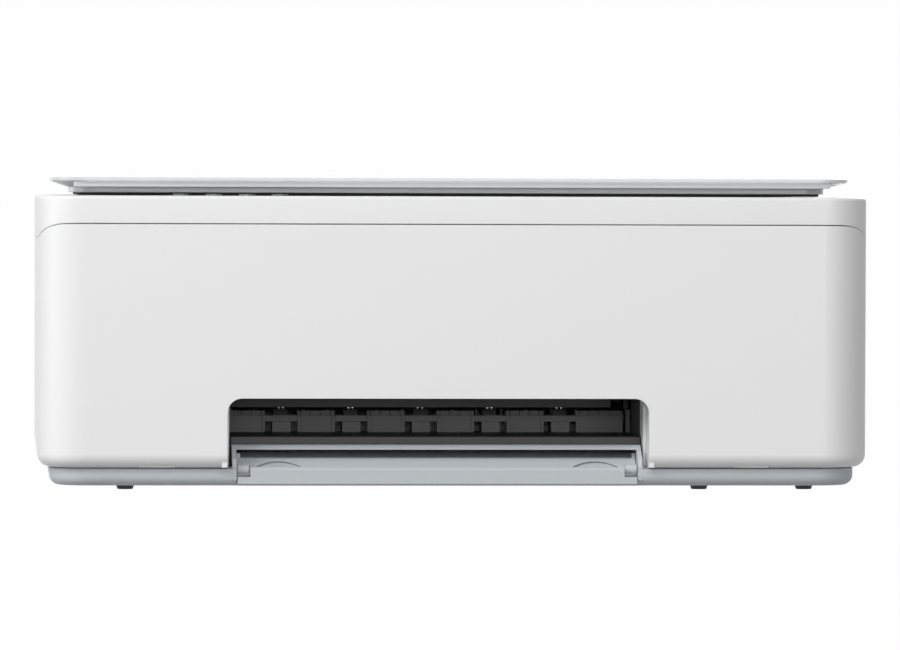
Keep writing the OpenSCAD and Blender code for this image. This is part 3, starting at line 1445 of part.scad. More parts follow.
// Document lid: a thin plate with a rounded frame below it and knuckles at the back
module document_lid() {
  lid_back = lid_hinge[0] + 3.6;
  lid_mid = (front + lid_front + lid_back) / 2;
  lid_depth = lid_back - front - lid_front;
  frame_back = lid_hinge[0] - lid_knuckle - 2.4;
  frame_mid = (front + lid_frame_front + frame_back) / 2;
  frame_depth = frame_back - front - lid_frame_front;
  frame_corner = 12;
  low = deck_top + lid_gap;
  brow = lid_under - lid_wedge;
  rim = deck_top + lid_rim_gap;
  step = 0.6;
  color(pale) difference() {
    union() {
      translate([0, lid_mid, lid_under]) linear_extrude(lid_edge) rounded_rect(lid_width, lid_depth, 16);
      // Underside falling from the edge to the frame, cut back round the hinge's ears
      difference() {
        hull() {
          translate([0, lid_mid, lid_under]) linear_extrude(lid_edge / 2)
            rounded_rect(lid_width - step, lid_depth - step, 16);
          translate([0, frame_mid, brow]) linear_extrude(lid_edge / 2)
            rounded_rect(lid_frame_width + step, frame_depth + step, frame_corner);
        }
        for (x = lid_hinge_places)
          block([x - half_knuckle - 5, lid_hinge[0] - lid_knuckle - 1, brow - past],
            [x + half_knuckle + 5, back, lid_under]);
      }
      translate([0, frame_mid, low]) linear_extrude(lid_under - low)
        rounded_rect(lid_frame_width, frame_depth, frame_corner);
      translate([0, frame_mid, rim]) linear_extrude(lid_under - rim)
        rounded_rect(lid_frame_width - 2 * lid_rim_inset, frame_depth - 2 * lid_rim_inset,
          frame_corner - lid_rim_inset);
      for (x = lid_hinge_places) {
        bar_x(x - half_knuckle, x + half_knuckle, lid_hinge, lid_knuckle);
        block([x - half_knuckle, frame_back - past, lid_hinge[1] - 1], [x + half_knuckle, lid_hinge[0],
          lid_under + past]);
      }
    }
    translate([0, frame_mid, rim - past]) linear_extrude(lid_under - rim + past)
      rounded_rect(lid_frame_width - 16, frame_depth - 16, 6);
    for (x = lid_hinge_places) bar_x(x - knuckle_width, x + knuckle_width, lid_hinge,
      hinge_pin + running_fit);
  }
}

// Soft white pad that presses the document on the glass
module lid_pad() {
  color(white) block([-window_width / 2 + 4, window_from + 4, deck_under + 0.6],
    [window_width / 2 - 4, window_to - 4, lid_under]);
}

base_housing();
rubber_feet();
outer_shell();
output_shelf();
output_liner();
eject_frame();
eject_rollers();
star_holder();
star_wheels();
platen();
platen_foam();
feed_roller();
pinch_holder();
pinch_rollers();
mech_frame();
guide_rod();
idler_gear();
paper_motor();
motor_pinion();
carriage();
black_cartridge();
colour_cartridge();
carriage_belt();
drive_pulley();
idler_pulley();
carriage_motor();
encoder_strip();
service_station();
cap_sled();
power_supply();
power_inlet();
main_board();
usb_port();
paper_guide();
uturn_guide();
separation_ramp();
pick_arm();
pick_roller();
rear_door();
paper_tray();
tray_flap();
left_width_guide();
right_width_guide();
guide_pinion();
length_guide();
scanner_tub();
scanner_deck();
scanner_glass();
scan_rod();
scan_bar();
scan_belt();
scan_motor();
scanner_hinges();
button_board();
power_button();
cancel_button();
colour_button();
black_button();
document_lid();
lid_pad();
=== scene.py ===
# %% [markdown]
# # A flat inkjet printer, dressed for its portrait
#
# The casing, the paper tray, the rollers and the scanner unit arrive as finished solids,
# already in their places and already joined to the bodies that move them. This lesson
# gives them their finishes, adds the soft and small things that a solid modeller leaves
# out, and sets up the light and the camera. Lengths are in metres: X runs to the right
# across the front, Y to the back, Z up, and the table is at Z = 0.

# %% Load the solids
import json
import math

import bmesh
import bpy
import numpy as np
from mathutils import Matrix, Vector

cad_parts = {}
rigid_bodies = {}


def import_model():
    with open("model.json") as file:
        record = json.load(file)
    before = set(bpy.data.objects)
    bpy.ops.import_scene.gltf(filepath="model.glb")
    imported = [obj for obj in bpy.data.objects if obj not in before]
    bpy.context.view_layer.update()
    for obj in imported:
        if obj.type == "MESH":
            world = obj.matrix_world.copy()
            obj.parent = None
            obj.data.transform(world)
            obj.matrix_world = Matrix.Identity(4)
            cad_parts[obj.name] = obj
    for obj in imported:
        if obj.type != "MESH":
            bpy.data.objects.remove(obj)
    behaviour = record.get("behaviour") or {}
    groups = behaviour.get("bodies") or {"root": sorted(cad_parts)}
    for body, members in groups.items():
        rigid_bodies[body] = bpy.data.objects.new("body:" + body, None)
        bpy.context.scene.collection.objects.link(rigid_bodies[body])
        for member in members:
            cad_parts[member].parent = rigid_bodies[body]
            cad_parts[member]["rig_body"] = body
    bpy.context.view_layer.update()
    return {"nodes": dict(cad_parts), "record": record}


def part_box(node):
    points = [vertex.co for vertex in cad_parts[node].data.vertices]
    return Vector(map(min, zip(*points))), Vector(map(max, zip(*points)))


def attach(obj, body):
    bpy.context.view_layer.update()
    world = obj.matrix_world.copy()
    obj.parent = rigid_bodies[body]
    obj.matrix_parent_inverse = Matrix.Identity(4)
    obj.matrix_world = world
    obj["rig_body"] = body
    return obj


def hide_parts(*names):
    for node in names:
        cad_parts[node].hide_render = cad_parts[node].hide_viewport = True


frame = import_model()
MM = 0.001
scene = bpy.context.scene
scene.view_settings.view_transform = "Standard"

# %% [markdown]
# ## Where things are
#
# Every new piece is placed from the solids that carry it, never from a number typed
# twice. A small helper turns a node's two corners into arrays.

# %% Corners of the nodes that later pieces sit on


def corners(node):
    """Lowest and highest corner of a solid, as two arrays."""
    low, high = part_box(node)
    return np.array(low, float), np.array(high, float)


FRONT = corners("outer_shell")[0][1]
DECK_TOP = corners("scanner_deck")[1][2]
print("front face at Y", round(FRONT, 4), "deck top at Z", round(DECK_TOP, 4))

# %% [markdown]
# ## Camera
#
# A product portrait is taken from far away with a long lens, so that upright edges stay
# upright and the two ends of the casing keep nearly the same size. Here the lens stands
# 3.6 m away, a few degrees to the left, about level with the lid, and the camera body is
# turned a fraction of a degree about its own axis.

# %% Place the camera
CAMERA_AZIMUTH = math.radians(-3.9)
CAMERA_DISTANCE = 3.6
CAMERA_HEIGHT = 0.165
CAMERA_ROLL = math.radians(0.18)
AIM = Vector((-0.0034, FRONT, 0.0904))
FOCAL_LENGTH = 263.9
SENSOR_WIDTH = 36.0
FARTHEST_SEEN = 30.0

camera_data = bpy.data.cameras.new("portrait_camera")
camera_data.lens = FOCAL_LENGTH
camera_data.sensor_width = SENSOR_WIDTH
camera_data.clip_end = FARTHEST_SEEN
camera = bpy.data.objects.new("portrait_camera", camera_data)
scene.collection.objects.link(camera)
camera.location = AIM + Vector((
    CAMERA_DISTANCE * math.sin(CAMERA_AZIMUTH),
    -CAMERA_DISTANCE * math.cos(CAMERA_AZIMUTH),
    CAMERA_HEIGHT - AIM.z))
look = (AIM - camera.location).to_track_quat("-Z", "Y")
camera.rotation_euler = look.to_euler()
camera.rotation_euler.rotate_axis("Z", CAMERA_ROLL)
scene.camera = camera
print("camera at", [round(v, 3) for v in camera.location])

# %% [markdown]
# ## A white ground
#
# The portrait has a pure white ground. White paint alone would throw so much light back
# at the object that its lower parts would lose their shading, so floor and world each
# have two faces. Light that bounces about meets a plain middle grey. The camera, and rays
# that come off gloss or through glass, meet plain white. A light path node tells the two
# kinds of ray apart.

# %% Start a material, and tell direct rays from bounced light


def new_material(name):
    """An empty node material and its node tree."""
    material = bpy.data.materials.new(name)
    material.use_nodes = True
    material.node_tree.nodes.clear()
    return material, material.node_tree.nodes, material.node_tree.links


def seen_directly(nodes, links):
    """A factor that is 1 for camera, glossy and transmission rays and 0 for the rest."""
    path = nodes.new("ShaderNodeLightPath")
    factor = path.outputs["Is Camera Ray"]
    for kind in ("Is Glossy Ray", "Is Transmission Ray"):
        larger = nodes.new("ShaderNodeMath")
        larger.operation = "MAXIMUM"
        links.new(factor, larger.inputs[0])
        links.new(path.outputs[kind], larger.inputs[1])
        factor = larger.outputs[0]
    return factor


def two_faced(nodes, links, factor, bounced, direct):
    """Show one shader to bounced light and, as far as the factor says, another directly."""
    blend = nodes.new("ShaderNodeMixShader")
    links.new(factor, blend.inputs[0])
    links.new(bounced.outputs[0], blend.inputs[1])
    links.new(direct.outputs[0], blend.inputs[2])
    return blend.outputs[0]


WHITE = (1.0, 1.0, 1.0, 1.0)
FLOOR_PAINT = 0.35
DIRECT_WHITE = 0.99
paper, nodes, links = new_material("studio_paper")
matt = nodes.new("ShaderNodeBsdfDiffuse")
matt.inputs["Color"].default_value = (FLOOR_PAINT, FLOOR_PAINT, FLOOR_PAINT, 1.0)
white = nodes.new("ShaderNodeEmission")
white.inputs["Color"].default_value = WHITE
white.inputs["Strength"].default_value = 1.0
share = nodes.new("ShaderNodeMath")
share.operation = "MULTIPLY"
share.inputs[1].default_value = DIRECT_WHITE
links.new(seen_directly(nodes, links), share.inputs[0])
output = nodes.new("ShaderNodeOutputMaterial")
links.new(two_faced(nodes, links, share.outputs[0], matt, white), output.inputs["Surface"])
print(paper.name, "has", len(nodes), "nodes")

# %% [markdown]
# ## A surface from a grid of points
#
# Most new pieces here are a grid of points that bends through space: two parameters, one
# point for each pair of them. The helper turns such a grid into a quad mesh with whole
# arrays, and joins the last row to the first where the surface runs round. The floor is
# the simplest such surface: a sheet that lies flat, turns up behind the object through a
# quarter circle, and rises, so that no line parts the floor from the backdrop.

# %% Lay the floor


def grid_mesh(name, points, close_u=False, close_v=False):
    """A quad mesh over a grid of points, shape (nu, nv, 3); either way round can be closed."""
    nu, nv = points.shape[:2]
    mesh = bpy.data.meshes.new(name)
    index = np.arange(nu * nv).reshape(nu, nv)
    rows = index if close_u else index[:-1]
    next_u = np.roll(index, -1, axis=0)[:rows.shape[0]]
    a, b = rows, next_u
    if close_v:
        c, d = np.roll(b, -1, axis=1), np.roll(a, -1, axis=1)
    else:
        a, c = a[:, :-1], b[:, 1:]
        b, d = b[:, :-1], rows[:, 1:]
    faces = np.stack([a, b, c, d], axis=-1).reshape(-1, 4)
    mesh.vertices.add(nu * nv)
    mesh.vertices.foreach_set("co", points.reshape(-1, 3).astype(np.float32).ravel())
    mesh.loops.add(faces.size)
    mesh.loops.foreach_set("vertex_index", faces.ravel().astype(np.int32))
    mesh.polygons.add(len(faces))
    mesh.polygons.foreach_set("loop_start", np.arange(0, faces.size, 4, dtype=np.int32))
    mesh.update(calc_edges=True)
    mesh.validate()
    return mesh


def add_object(name, mesh, material=None):
    """Put a mesh into the scene, at the origin."""
    thing = bpy.data.objects.new(name, mesh)
    scene.collection.objects.link(thing)
    if material is not None:
        mesh.materials.append(material)
    return thing


def sweep_profile(length, height, radius, steps):
    """Floor line that runs back, turns up through a quarter circle and rises: y and z rows."""
    angle = np.linspace(0.0, math.pi / 2, steps)
    curve_y = length + radius * np.sin(angle)
    curve_z = radius * (1.0 - np.cos(angle))
    y = np.concatenate([[-length], curve_y, [length + radius]])
    z = np.concatenate([[0.0], curve_z, [height]])
    return y, z


SWEEP_HALF_WIDTH = 14.0
sweep_y, sweep_z = sweep_profile(length=12.0, height=4.0, radius=1.2, steps=24)
sweep_x = np.array([-SWEEP_HALF_WIDTH, SWEEP_HALF_WIDTH])
sweep = np.stack([
    np.broadcast_to(sweep_x[:, None], (2, len(sweep_y))),
    np.broadcast_to(sweep_y[None, :], (2, len(sweep_y))),
    np.broadcast_to(sweep_z[None, :], (2, len(sweep_y)))], axis=-1)
floor = add_object("studio_floor", grid_mesh("studio_floor", sweep), paper)
print("floor", len(floor.data.polygons), "faces")

# %% [markdown]
# ## World and lamps
#
# The world gives a low even level from all sides. The lamps are large softboxes, so that
# shadows have no hard rim. The brightest stands high at the front left: the left end of
# the casing is bright, and the right-hand corner falls away into grey. Two at the front
# reach the paper opening, one lights the left side, and one behind lights the lid's top
# and the back.

# %% Fill the world
WORLD_LEVEL = 0.13
world = bpy.data.worlds.new("studio")
scene.world = world
world.use_nodes = True
nodes, links = world.node_tree.nodes, world.node_tree.links
nodes.clear()
fill = nodes.new("ShaderNodeBackground")
fill.inputs["Color"].default_value = WHITE
fill.inputs["Strength"].default_value = WORLD_LEVEL
ground = nodes.new("ShaderNodeBackground")
ground.inputs["Color"].default_value = WHITE
ground.inputs["Strength"].default_value = 1.0
output = nodes.new("ShaderNodeOutputWorld")
links.new(two_faced(nodes, links, seen_directly(nodes, links), fill, ground),
          output.inputs["Surface"])
print("world level", WORLD_LEVEL)

# %% Hang the lamps


def softbox(name, place, target, size, power):
    """A rectangular lamp at a place, turned to face a target."""
    lamp = bpy.data.lights.new(name, "AREA")
    lamp.shape = "RECTANGLE"
    lamp.size, lamp.size_y = size
    lamp.energy = power
    holder = bpy.data.objects.new(name, lamp)
    scene.collection.objects.link(holder)
    holder.location = place
    direction = Vector(target) - Vector(place)
    holder.rotation_euler = direction.to_track_quat("-Z", "Y").to_euler()
    return holder


HEART = (0.0, 0.0, 0.09)
LAMPS = {  # place in metres, width and height in metres, power in watts
    "key_high": ((-2.3, -2.0, 2.3), (1.8, 1.6), 68.0),
    "front_high": ((-0.2, -3.0, 2.6), (2.4, 1.4), 34.0),
    "front_fill": ((0.3, -4.4, 0.4), (2.4, 0.9), 36.0),
    "left_edge": ((-3.4, -0.6, 0.9), (1.6, 1.6), 27.0),
    "back_light": ((0.9, 3.2, 1.6), (2.0, 1.6), 62.0),
}
for name, (place, size, power) in LAMPS.items():
    softbox(name, place, HEART, size, power)

# %% [markdown]
# ## Finishes
#
# Moulded plastic is never one flat colour. Its surface copies the mould: a fine even
# grain, a slow drift in how much it shines, and tiny differences of tone. Each finish is
# therefore built from noise at two scales, read in object coordinates, because every
# object here sits at the origin and so those coordinates are plain metres.
#
# Every recipe below starts and ends alike, so helpers do that part: one starts the
# material, one turns a height pattern into a bumped normal, and one closes the material.

# %% Helpers that every recipe shares


def start_finish(name):
    """A new material with its shader, and the place on the object as a vector."""
    material, nodes, links = new_material(name)
    place = nodes.new("ShaderNodeTexCoord").outputs["Object"]
    return material, nodes, links, place, nodes.new("ShaderNodeBsdfPrincipled")


def raise_grain(nodes, links, shader, height, depth, strength=1.0, under=None):
    """Bend the shader's normal as if the height pattern were depth millimetres deep, on top
    of another normal if one is given."""
    bump = nodes.new("ShaderNodeBump")
    bump.inputs["Strength"].default_value = strength
    bump.inputs["Distance"].default_value = depth * MM
    links.new(height, bump.inputs["Height"])
    if under is not None:
        links.new(under, bump.inputs["Normal"])
    links.new(bump.outputs["Normal"], shader.inputs["Normal"])


def close_finish(nodes, links, shader):
    """Send the shader to the surface."""
    output = nodes.new("ShaderNodeOutputMaterial")
    links.new(shader.outputs[0], output.inputs["Surface"])


def noise(nodes, links, source, scale, detail, roughness=0.55):
    """Noise of the given number of cells per metre."""
    texture = nodes.new("ShaderNodeTexNoise")
    texture.inputs["Scale"].default_value = scale
    texture.inputs["Detail"].default_value = detail
    texture.inputs["Roughness"].default_value = roughness
    links.new(source, texture.inputs["Vector"])
    return texture.outputs["Fac"]


NOISE_LOW, NOISE_HIGH = 0.3, 0.7


def spread(nodes, links, source, low, high):
    """Carry a noise value, which lies near 0.5, smoothly on to the range from low to high."""
    ramp = nodes.new("ShaderNodeMapRange")
    ramp.interpolation_type = "SMOOTHSTEP"
    ramp.inputs["From Min"].default_value = NOISE_LOW
    ramp.inputs["From Max"].default_value = NOISE_HIGH
    ramp.inputs["To Min"].default_value = low
    ramp.inputs["To Max"].default_value = high
    links.new(source, ramp.inputs["Value"])
    return ramp.outputs["Result"]


def tint(nodes, links, factor, dark, light):
    """Mix two colours by a factor."""
    mix = nodes.new("ShaderNodeMix")
    mix.data_type = "RGBA"
    mix.inputs["A"].default_value = (*dark, 1.0)
    mix.inputs["B"].default_value = (*light, 1.0)
    links.new(factor, mix.inputs["Factor"])
    return mix.outputs["Result"]


def scaled(colour, factor):
    """A colour times a factor, kept between 0 and 1."""
    return tuple(min(1.0, max(0.0, channel * factor)) for channel in colour)


print("noise is read from", NOISE_LOW, "to", NOISE_HIGH)

# %% [markdown]
# The mould's grain is a bump far too fine to be cut into a mesh. On top of it, a bevel
# node bends the normal close to each corner, which gives the small mouldings the bright
# thin line of a rounded edge without a single face more. The drift stays slight: on a
# wide pale surface the eye takes a stronger one for a stain.

# %% A moulded plastic
CELLS_OF_DRIFT = 9.0
GLOSS_DRIFT = 0.01
GRAIN_STRENGTH = 0.35
COAT_ROUGHNESS = 0.25
BEVEL_SAMPLES = 4


def moulded(name, colour, rough, grain, depth, drift, coat=0.0, edge=0.0):
    """Moulded plastic: colour drift, fine grain in the normal, slow drift in the gloss."""
    material, nodes, links, place, shader = start_finish(name)
    slow = noise(nodes, links, place, CELLS_OF_DRIFT, 2.0)
    fine = noise(nodes, links, place, grain, 4.0, 0.6)
    dark, light = scaled(colour, 1.0 - drift), scaled(colour, 1.0 + drift)
    shade = tint(nodes, links, spread(nodes, links, slow, 0.0, 1.0), dark, light)
    gloss = spread(nodes, links, slow, rough - GLOSS_DRIFT, rough + GLOSS_DRIFT)
    links.new(shade, shader.inputs["Base Color"])
    links.new(gloss, shader.inputs["Roughness"])
    shader.inputs["Coat Weight"].default_value = coat
    shader.inputs["Coat Roughness"].default_value = COAT_ROUGHNESS
    rounded = None
    if edge > 0.0:
        rounding = nodes.new("ShaderNodeBevel")
        rounding.samples = BEVEL_SAMPLES
        rounding.inputs["Radius"].default_value = edge
        rounded = rounding.outputs["Normal"]
    raise_grain(nodes, links, shader, fine, depth, GRAIN_STRENGTH, rounded)
    close_finish(nodes, links, shader)
    return material


EDGE = 0.35 * MM
finish = {
    "shell_white": moulded(
        "white_satin_casing", (0.86, 0.86, 0.862), 0.42, 2600.0, 0.004, 0.004, 0.15, EDGE),
    "base_grey": moulded(
        "blue_grey_base", (0.54, 0.575, 0.60), 0.48, 1800.0, 0.012, 0.006, 0.0, EDGE),
    "lid_grey": moulded(
        "pale_grey_lid", (0.60, 0.615, 0.625), 0.3, 2000.0, 0.001, 0.003, 0.6, EDGE),
    "dark_plastic": moulded(
        "dark_inner_plastic", (0.145, 0.145, 0.149), 0.55, 1500.0, 0.02, 0.06, 0.0, EDGE),
    # a darker copy of the dark plastic: painted shade for the shelf deep in the printer's mouth
    "shelf_painted_shade": moulded(
        "dark_plastic_painted_shade", (0.017, 0.017, 0.018), 0.5, 1500.0, 0.02, 0.06, 0.0, EDGE),
    "black_plastic": moulded(
        "black_plastic", (0.02, 0.02, 0.021), 0.5, 1500.0, 0.02, 0.08, 0.0, EDGE),
    "white_gear": moulded(
        "natural_acetal", (0.72, 0.71, 0.67), 0.38, 900.0, 0.01, 0.02),
    "ink_blue": moulded(
        "dark_blue_cartridge", (0.05, 0.07, 0.16), 0.45, 1500.0, 0.02, 0.05, 0.0, EDGE),
    "button_grey": moulded(
        "grey_button", (0.12, 0.125, 0.13), 0.35, 2200.0, 0.004, 0.02, 0.1, EDGE),
}
print("plastics:", sorted(finish))

# %% [markdown]
# Rubber is darker and softer to the light than plastic and has a coarser, dusty skin.
# Foam is all pores: its surface is broken by little cells, so the height that drives the
# normal comes from a cell pattern instead of smooth noise.

# %% Rubber and foam
PORE_SHADE, CELL_SHADE = 0.8, 0.82
FOAM_ROUGHNESS = 0.85


def rubber(name, colour, rough, grain, depth):
    """Rubber: a matt skin with fine pores and a dusty bloom at grazing angles."""
    material, nodes, links, place, shader = start_finish(name)
    pores = noise(nodes, links, place, grain, 5.0, 0.7)
    factor = spread(nodes, links, pores, 0.0, 1.0)
    shade = tint(nodes, links, factor, scaled(colour, PORE_SHADE), colour)
    links.new(shade, shader.inputs["Base Color"])
    shader.inputs["Roughness"].default_value = rough
    shader.inputs["Sheen Weight"].default_value = 0.15
    raise_grain(nodes, links, shader, pores, depth, 0.6)
    close_finish(nodes, links, shader)
    return material


def foam(name, colour, cells, depth):
    """Foam: a cell pattern drives both the tone of the pores and the normal."""
    material, nodes, links, place, shader = start_finish(name)
    cell = nodes.new("ShaderNodeTexVoronoi")
    cell.inputs["Scale"].default_value = cells
    links.new(place, cell.inputs["Vector"])
    shade = tint(nodes, links, cell.outputs["Distance"], scaled(colour, CELL_SHADE), colour)
    links.new(shade, shader.inputs["Base Color"])
    shader.inputs["Roughness"].default_value = FOAM_ROUGHNESS
    shader.inputs["Sheen Weight"].default_value = 0.1
    raise_grain(nodes, links, shader, cell.outputs["Distance"], depth)
    close_finish(nodes, links, shader)
    return material


finish["rubber"] = rubber("black_rubber", (0.03, 0.03, 0.032), 0.7, 1400.0, 0.05)
finish["grey_rubber"] = rubber("grey_roller_rubber", (0.10, 0.10, 0.105), 0.65, 2600.0, 0.03)
finish["belt_rubber"] = rubber("belt_rubber", (0.022, 0.022, 0.023), 0.6, 1800.0, 0.02)
finish["foam"] = foam("ink_foam", (0.55, 0.55, 0.53), 2200.0, 0.12)
finish["white_pad"] = foam("white_pad_film", (0.80, 0.80, 0.80), 1300.0, 0.03)
print("soft finishes:", [key for key in finish if "rubber" in key or "foam" in key or "pad" in key])

# %% [markdown]
# Sheet steel shows the rolling direction as long fine streaks. The same recipe, with the
# noise stretched along one axis or none, also gives the turned brass pinion, the drawn
# motor cans and the grit-coated feed roller; colour, stretch, grain and gloss differ.

# %% Metals
EVEN = (1.0, 1.0, 1.0)
ALONG_X = (0.04, 1.0, 1.0)
STREAK_SHADE = 1.0 - 0.12
STREAK_STRENGTH = 0.4


def metal(name, colour, rough, stretch, grain=700.0, depth=0.01):
    """Metal: noise stretched along one axis drives tone, gloss and normal."""
    material, nodes, links, place, shader = start_finish(name)
    turn = nodes.new("ShaderNodeMapping")
    turn.inputs["Scale"].default_value = stretch
    links.new(place, turn.inputs["Vector"])
    shader.inputs["Metallic"].default_value = 1.0
    streak = noise(nodes, links, turn.outputs[0], grain, 4.0, 0.6)
    factor = spread(nodes, links, streak, 0.0, 1.0)
    shade = tint(nodes, links, factor, scaled(colour, STREAK_SHADE), colour)
    links.new(shade, shader.inputs["Base Color"])
    links.new(spread(nodes, links, streak, rough - 0.06, rough + 0.08), shader.inputs["Roughness"])
    raise_grain(nodes, links, shader, streak, depth, STREAK_STRENGTH)
    close_finish(nodes, links, shader)
    return material


finish["steel"] = metal("zinc_plated_steel", (0.62, 0.63, 0.65), 0.35, ALONG_X)
finish["polished_steel"] = metal("polished_rod", (0.72, 0.73, 0.74), 0.16, ALONG_X, 900.0, 0.004)
finish["roller_coat"] = metal("grit_coated_roller", (0.30, 0.31, 0.32), 0.55, EVEN, 2200.0, 0.03)
finish["brass"] = metal("turned_brass", (0.70, 0.55, 0.28), 0.28, (1.0, 0.1, 1.0))
finish["motor_can"] = metal("drawn_motor_can", (0.55, 0.56, 0.58), 0.32, ALONG_X)
finish["contact_metal"] = metal("plated_socket", (0.70, 0.71, 0.73), 0.3, (1.0, 0.08, 1.0))
print("metal streaks are darkened to", STREAK_SHADE)

# %% [markdown]
# Glass and clear film let light through. The film of the encoder strip carries hundreds
# of fine dark lines, drawn here by a wave across its length. The circuit boards get the
# pale traces of copper under their green lacquer from a stepped cell pattern.

# %% Glass, film and circuit board
GLASS_INDEX = 1.5
HAZE_CELLS, HAZE_ROUGHNESS, HAZE_LIGHT = 40.0, 0.03, 1.02
LINE_SHADE = 0.25
TRACE_CELLS, TRACE_FROM, TRACE_RISE = 130.0, 0.62, 0.05


def clear(name, colour, rough, lines=0.0):
    """Clear sheet: transmission with a faint tint, and fine lines across it if asked."""
    material, nodes, links, place, shader = start_finish(name)
    shader.inputs["Transmission Weight"].default_value = 1.0
    shader.inputs["IOR"].default_value = GLASS_INDEX
    haze = noise(nodes, links, place, HAZE_CELLS, 3.0)
    gloss = spread(nodes, links, haze, rough, rough + HAZE_ROUGHNESS)
    links.new(gloss, shader.inputs["Roughness"])
    if lines > 0.0:
        wave = nodes.new("ShaderNodeTexWave")
        wave.inputs["Scale"].default_value = lines
        links.new(place, wave.inputs["Vector"])
        shade = tint(nodes, links, wave.outputs["Fac"], scaled(colour, LINE_SHADE), colour)
    else:
        shade = tint(nodes, links, haze, colour, scaled(colour, HAZE_LIGHT))
    links.new(shade, shader.inputs["Base Color"])
    close_finish(nodes, links, shader)
    return material


def circuit(name, lacquer, copper):
    """Lacquered board: raised traces where the distance to the second nearest cell point,
    measured in squares, is large."""
    material, nodes, links, place, shader = start_finish(name)
    cell = nodes.new("ShaderNodeTexVoronoi")
    cell.distance = "CHEBYCHEV"
    cell.feature = "F2"
    cell.inputs["Scale"].default_value = TRACE_CELLS
    links.new(place, cell.inputs["Vector"])
    step = nodes.new("ShaderNodeMath")
    step.operation = "GREATER_THAN"
    step.inputs[1].default_value = TRACE_FROM
    links.new(cell.outputs["Distance"], step.inputs[0])
    links.new(tint(nodes, links, step.outputs[0], lacquer, copper), shader.inputs["Base Color"])
    shader.inputs["Roughness"].default_value = 0.3
    raise_grain(nodes, links, shader, step.outputs[0], TRACE_RISE)
    close_finish(nodes, links, shader)
    return material


finish["glass"] = clear("platen_glass", (0.90, 0.96, 0.95), 0.0)
finish["clear_strip"] = clear("encoder_film", (0.8, 0.8, 0.8), 0.08, 900.0)
finish["circuit_green"] = circuit("green_board", (0.02, 0.12, 0.05), (0.06, 0.24, 0.10))
print(len(finish), "finishes in all")

# %% [markdown]
# ## Each solid gets its finish
#
# The solids come with the names of what they are made of, and the finishes above carry
# the same names, so one loop dresses them all. Only the output shelf takes a finish of
# its own: a darker copy of the dark plastic, painted shade for the shadow that keeps the
# mouth of the printer dark.

# %% Give every solid its finish
OWN_FINISH = {"output_shelf": "shelf_painted_shade"}
SLOT_OF = {part["node"]: part["material_slot"] for part in frame["record"]["subparts"]}
for node, slot in SLOT_OF.items():
    solid = frame["nodes"][node]
    solid.data.materials.clear()
    solid.data.materials.append(finish[OWN_FINISH.get(node, slot)])
print("dressed", len(SLOT_OF), "solids")

# %% [markdown]
# ## Softer edges on the large mouldings
#
# No moulding leaves its tool with a knife edge: each corner has a small radius, and that
# radius is what draws the thin bright and dark lines round a casing. The solids arrive as
# loose triangles with sharp corners, so each large moulding that the eye reads is copied.
# In the copy the triangles are joined at their corners, and a bevel rounds every edge
# that turns more than a set angle. A bevel node in the material only bends the normals;
# this way the radius is in the mesh as well. The outer shell, the tray and its flap keep
# their solids: rounded copies of the last two touched with the flap down.

# %% Copy and round the large mouldings
SAME_POINT = 2e-6
BEVEL_SEGMENTS = 2
SHARP_ANGLE = math.radians(32.0)
EDGE_RADII = {  # in millimetres
    "scanner_deck": 0.3, "document_lid": 0.3, "base_housing": 0.35,
    "output_shelf": 0.3, "rear_door": 0.4,
}


def smooth(mesh):
    """Shade every face of a mesh as part of one smooth surface."""
    mesh.polygons.foreach_set("use_smooth", np.ones(len(mesh.polygons), dtype=bool))


def softened(node, width):
    """A copy of a solid in which every edge sharper than the set angle is rounded."""
    solid = frame["nodes"][node]
    mesh = solid.data.copy()
    mesh.name = node + "_rounded"
    for attribute in ("custom_normal", "sharp_edge"):
        if attribute in mesh.attributes:
            mesh.attributes.remove(mesh.attributes[attribute])
    shape = bmesh.new()
    shape.from_mesh(mesh)
    bmesh.ops.remove_doubles(shape, verts=shape.verts, dist=SAME_POINT)
    shape.to_mesh(mesh)
    shape.free()
    smooth(mesh)
    thing = add_object(node + "_rounded", mesh)
    rounding = thing.modifiers.new("rounding", "BEVEL")
    rounding.width = width
    rounding.segments = BEVEL_SEGMENTS
    rounding.limit_method = "ANGLE"
    rounding.angle_limit = SHARP_ANGLE
    rounding.use_clamp_overlap = False
    rounding.harden_normals = True
    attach(thing, solid["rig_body"])
    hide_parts(node)
    return thing


for moulding, radius in EDGE_RADII.items():
    piece = softened(moulding, radius * MM)
    print(piece.name, len(piece.data.polygons), "faces before the bevel")

# %% [markdown]
# ## The document pad and the ink foam
#
# Under the lid hangs a white foam pad with a smooth film, which presses the sheet on the
# glass. It is soft, so its edge is round, its sides pull in a little between the corners,
# and its face is flat only where it meets the glass. The shape is a pillow worked out on
# a grid: one parameter runs round a rounded rectangle, the other from the middle of the
# lower face, over the edge, to the middle of the upper face. The foam strips in the print
# bed are the same pillow, smaller and rougher.

# %% The outline of a pillow
FULL_TURN = 2 * math.pi
QUARTER_TURN = math.pi / 2
CORNER_SIGNS = ((1, 1), (-1, 1), (-1, -1), (1, -1))


def rounded_loop(half_x, half_y, radius, per_corner, per_side, pull=0.0):
    """Points round a rectangle with round corners, anticlockwise: a quarter circle about each
    corner's centre, then a straight side that bows inwards by pull times a half sine."""
    points = []
    for turn in range(4):
        angle = np.linspace(0.0, QUARTER_TURN, per_corner) + turn * QUARTER_TURN
        centre, after = (
            np.array([sign_x * (half_x - radius), sign_y * (half_y - radius)])
            for sign_x, sign_y in (CORNER_SIGNS[turn], CORNER_SIGNS[(turn + 1) % 4]))
        arc = centre + radius * np.stack([np.cos(angle), np.sin(angle)], axis=1)
        side = (turn + 1) * QUARTER_TURN
        outward = np.array([math.cos(side), math.sin(side)])
        share = np.linspace(0.0, 1.0, per_side + 2)[1:-1, None]
        bow = pull * np.sin(math.pi * share)
        points.append(arc)
        points.append(arc[-1] * (1 - share) + (after + radius * outward) * share - outward * bow)
    return np.concatenate(points)


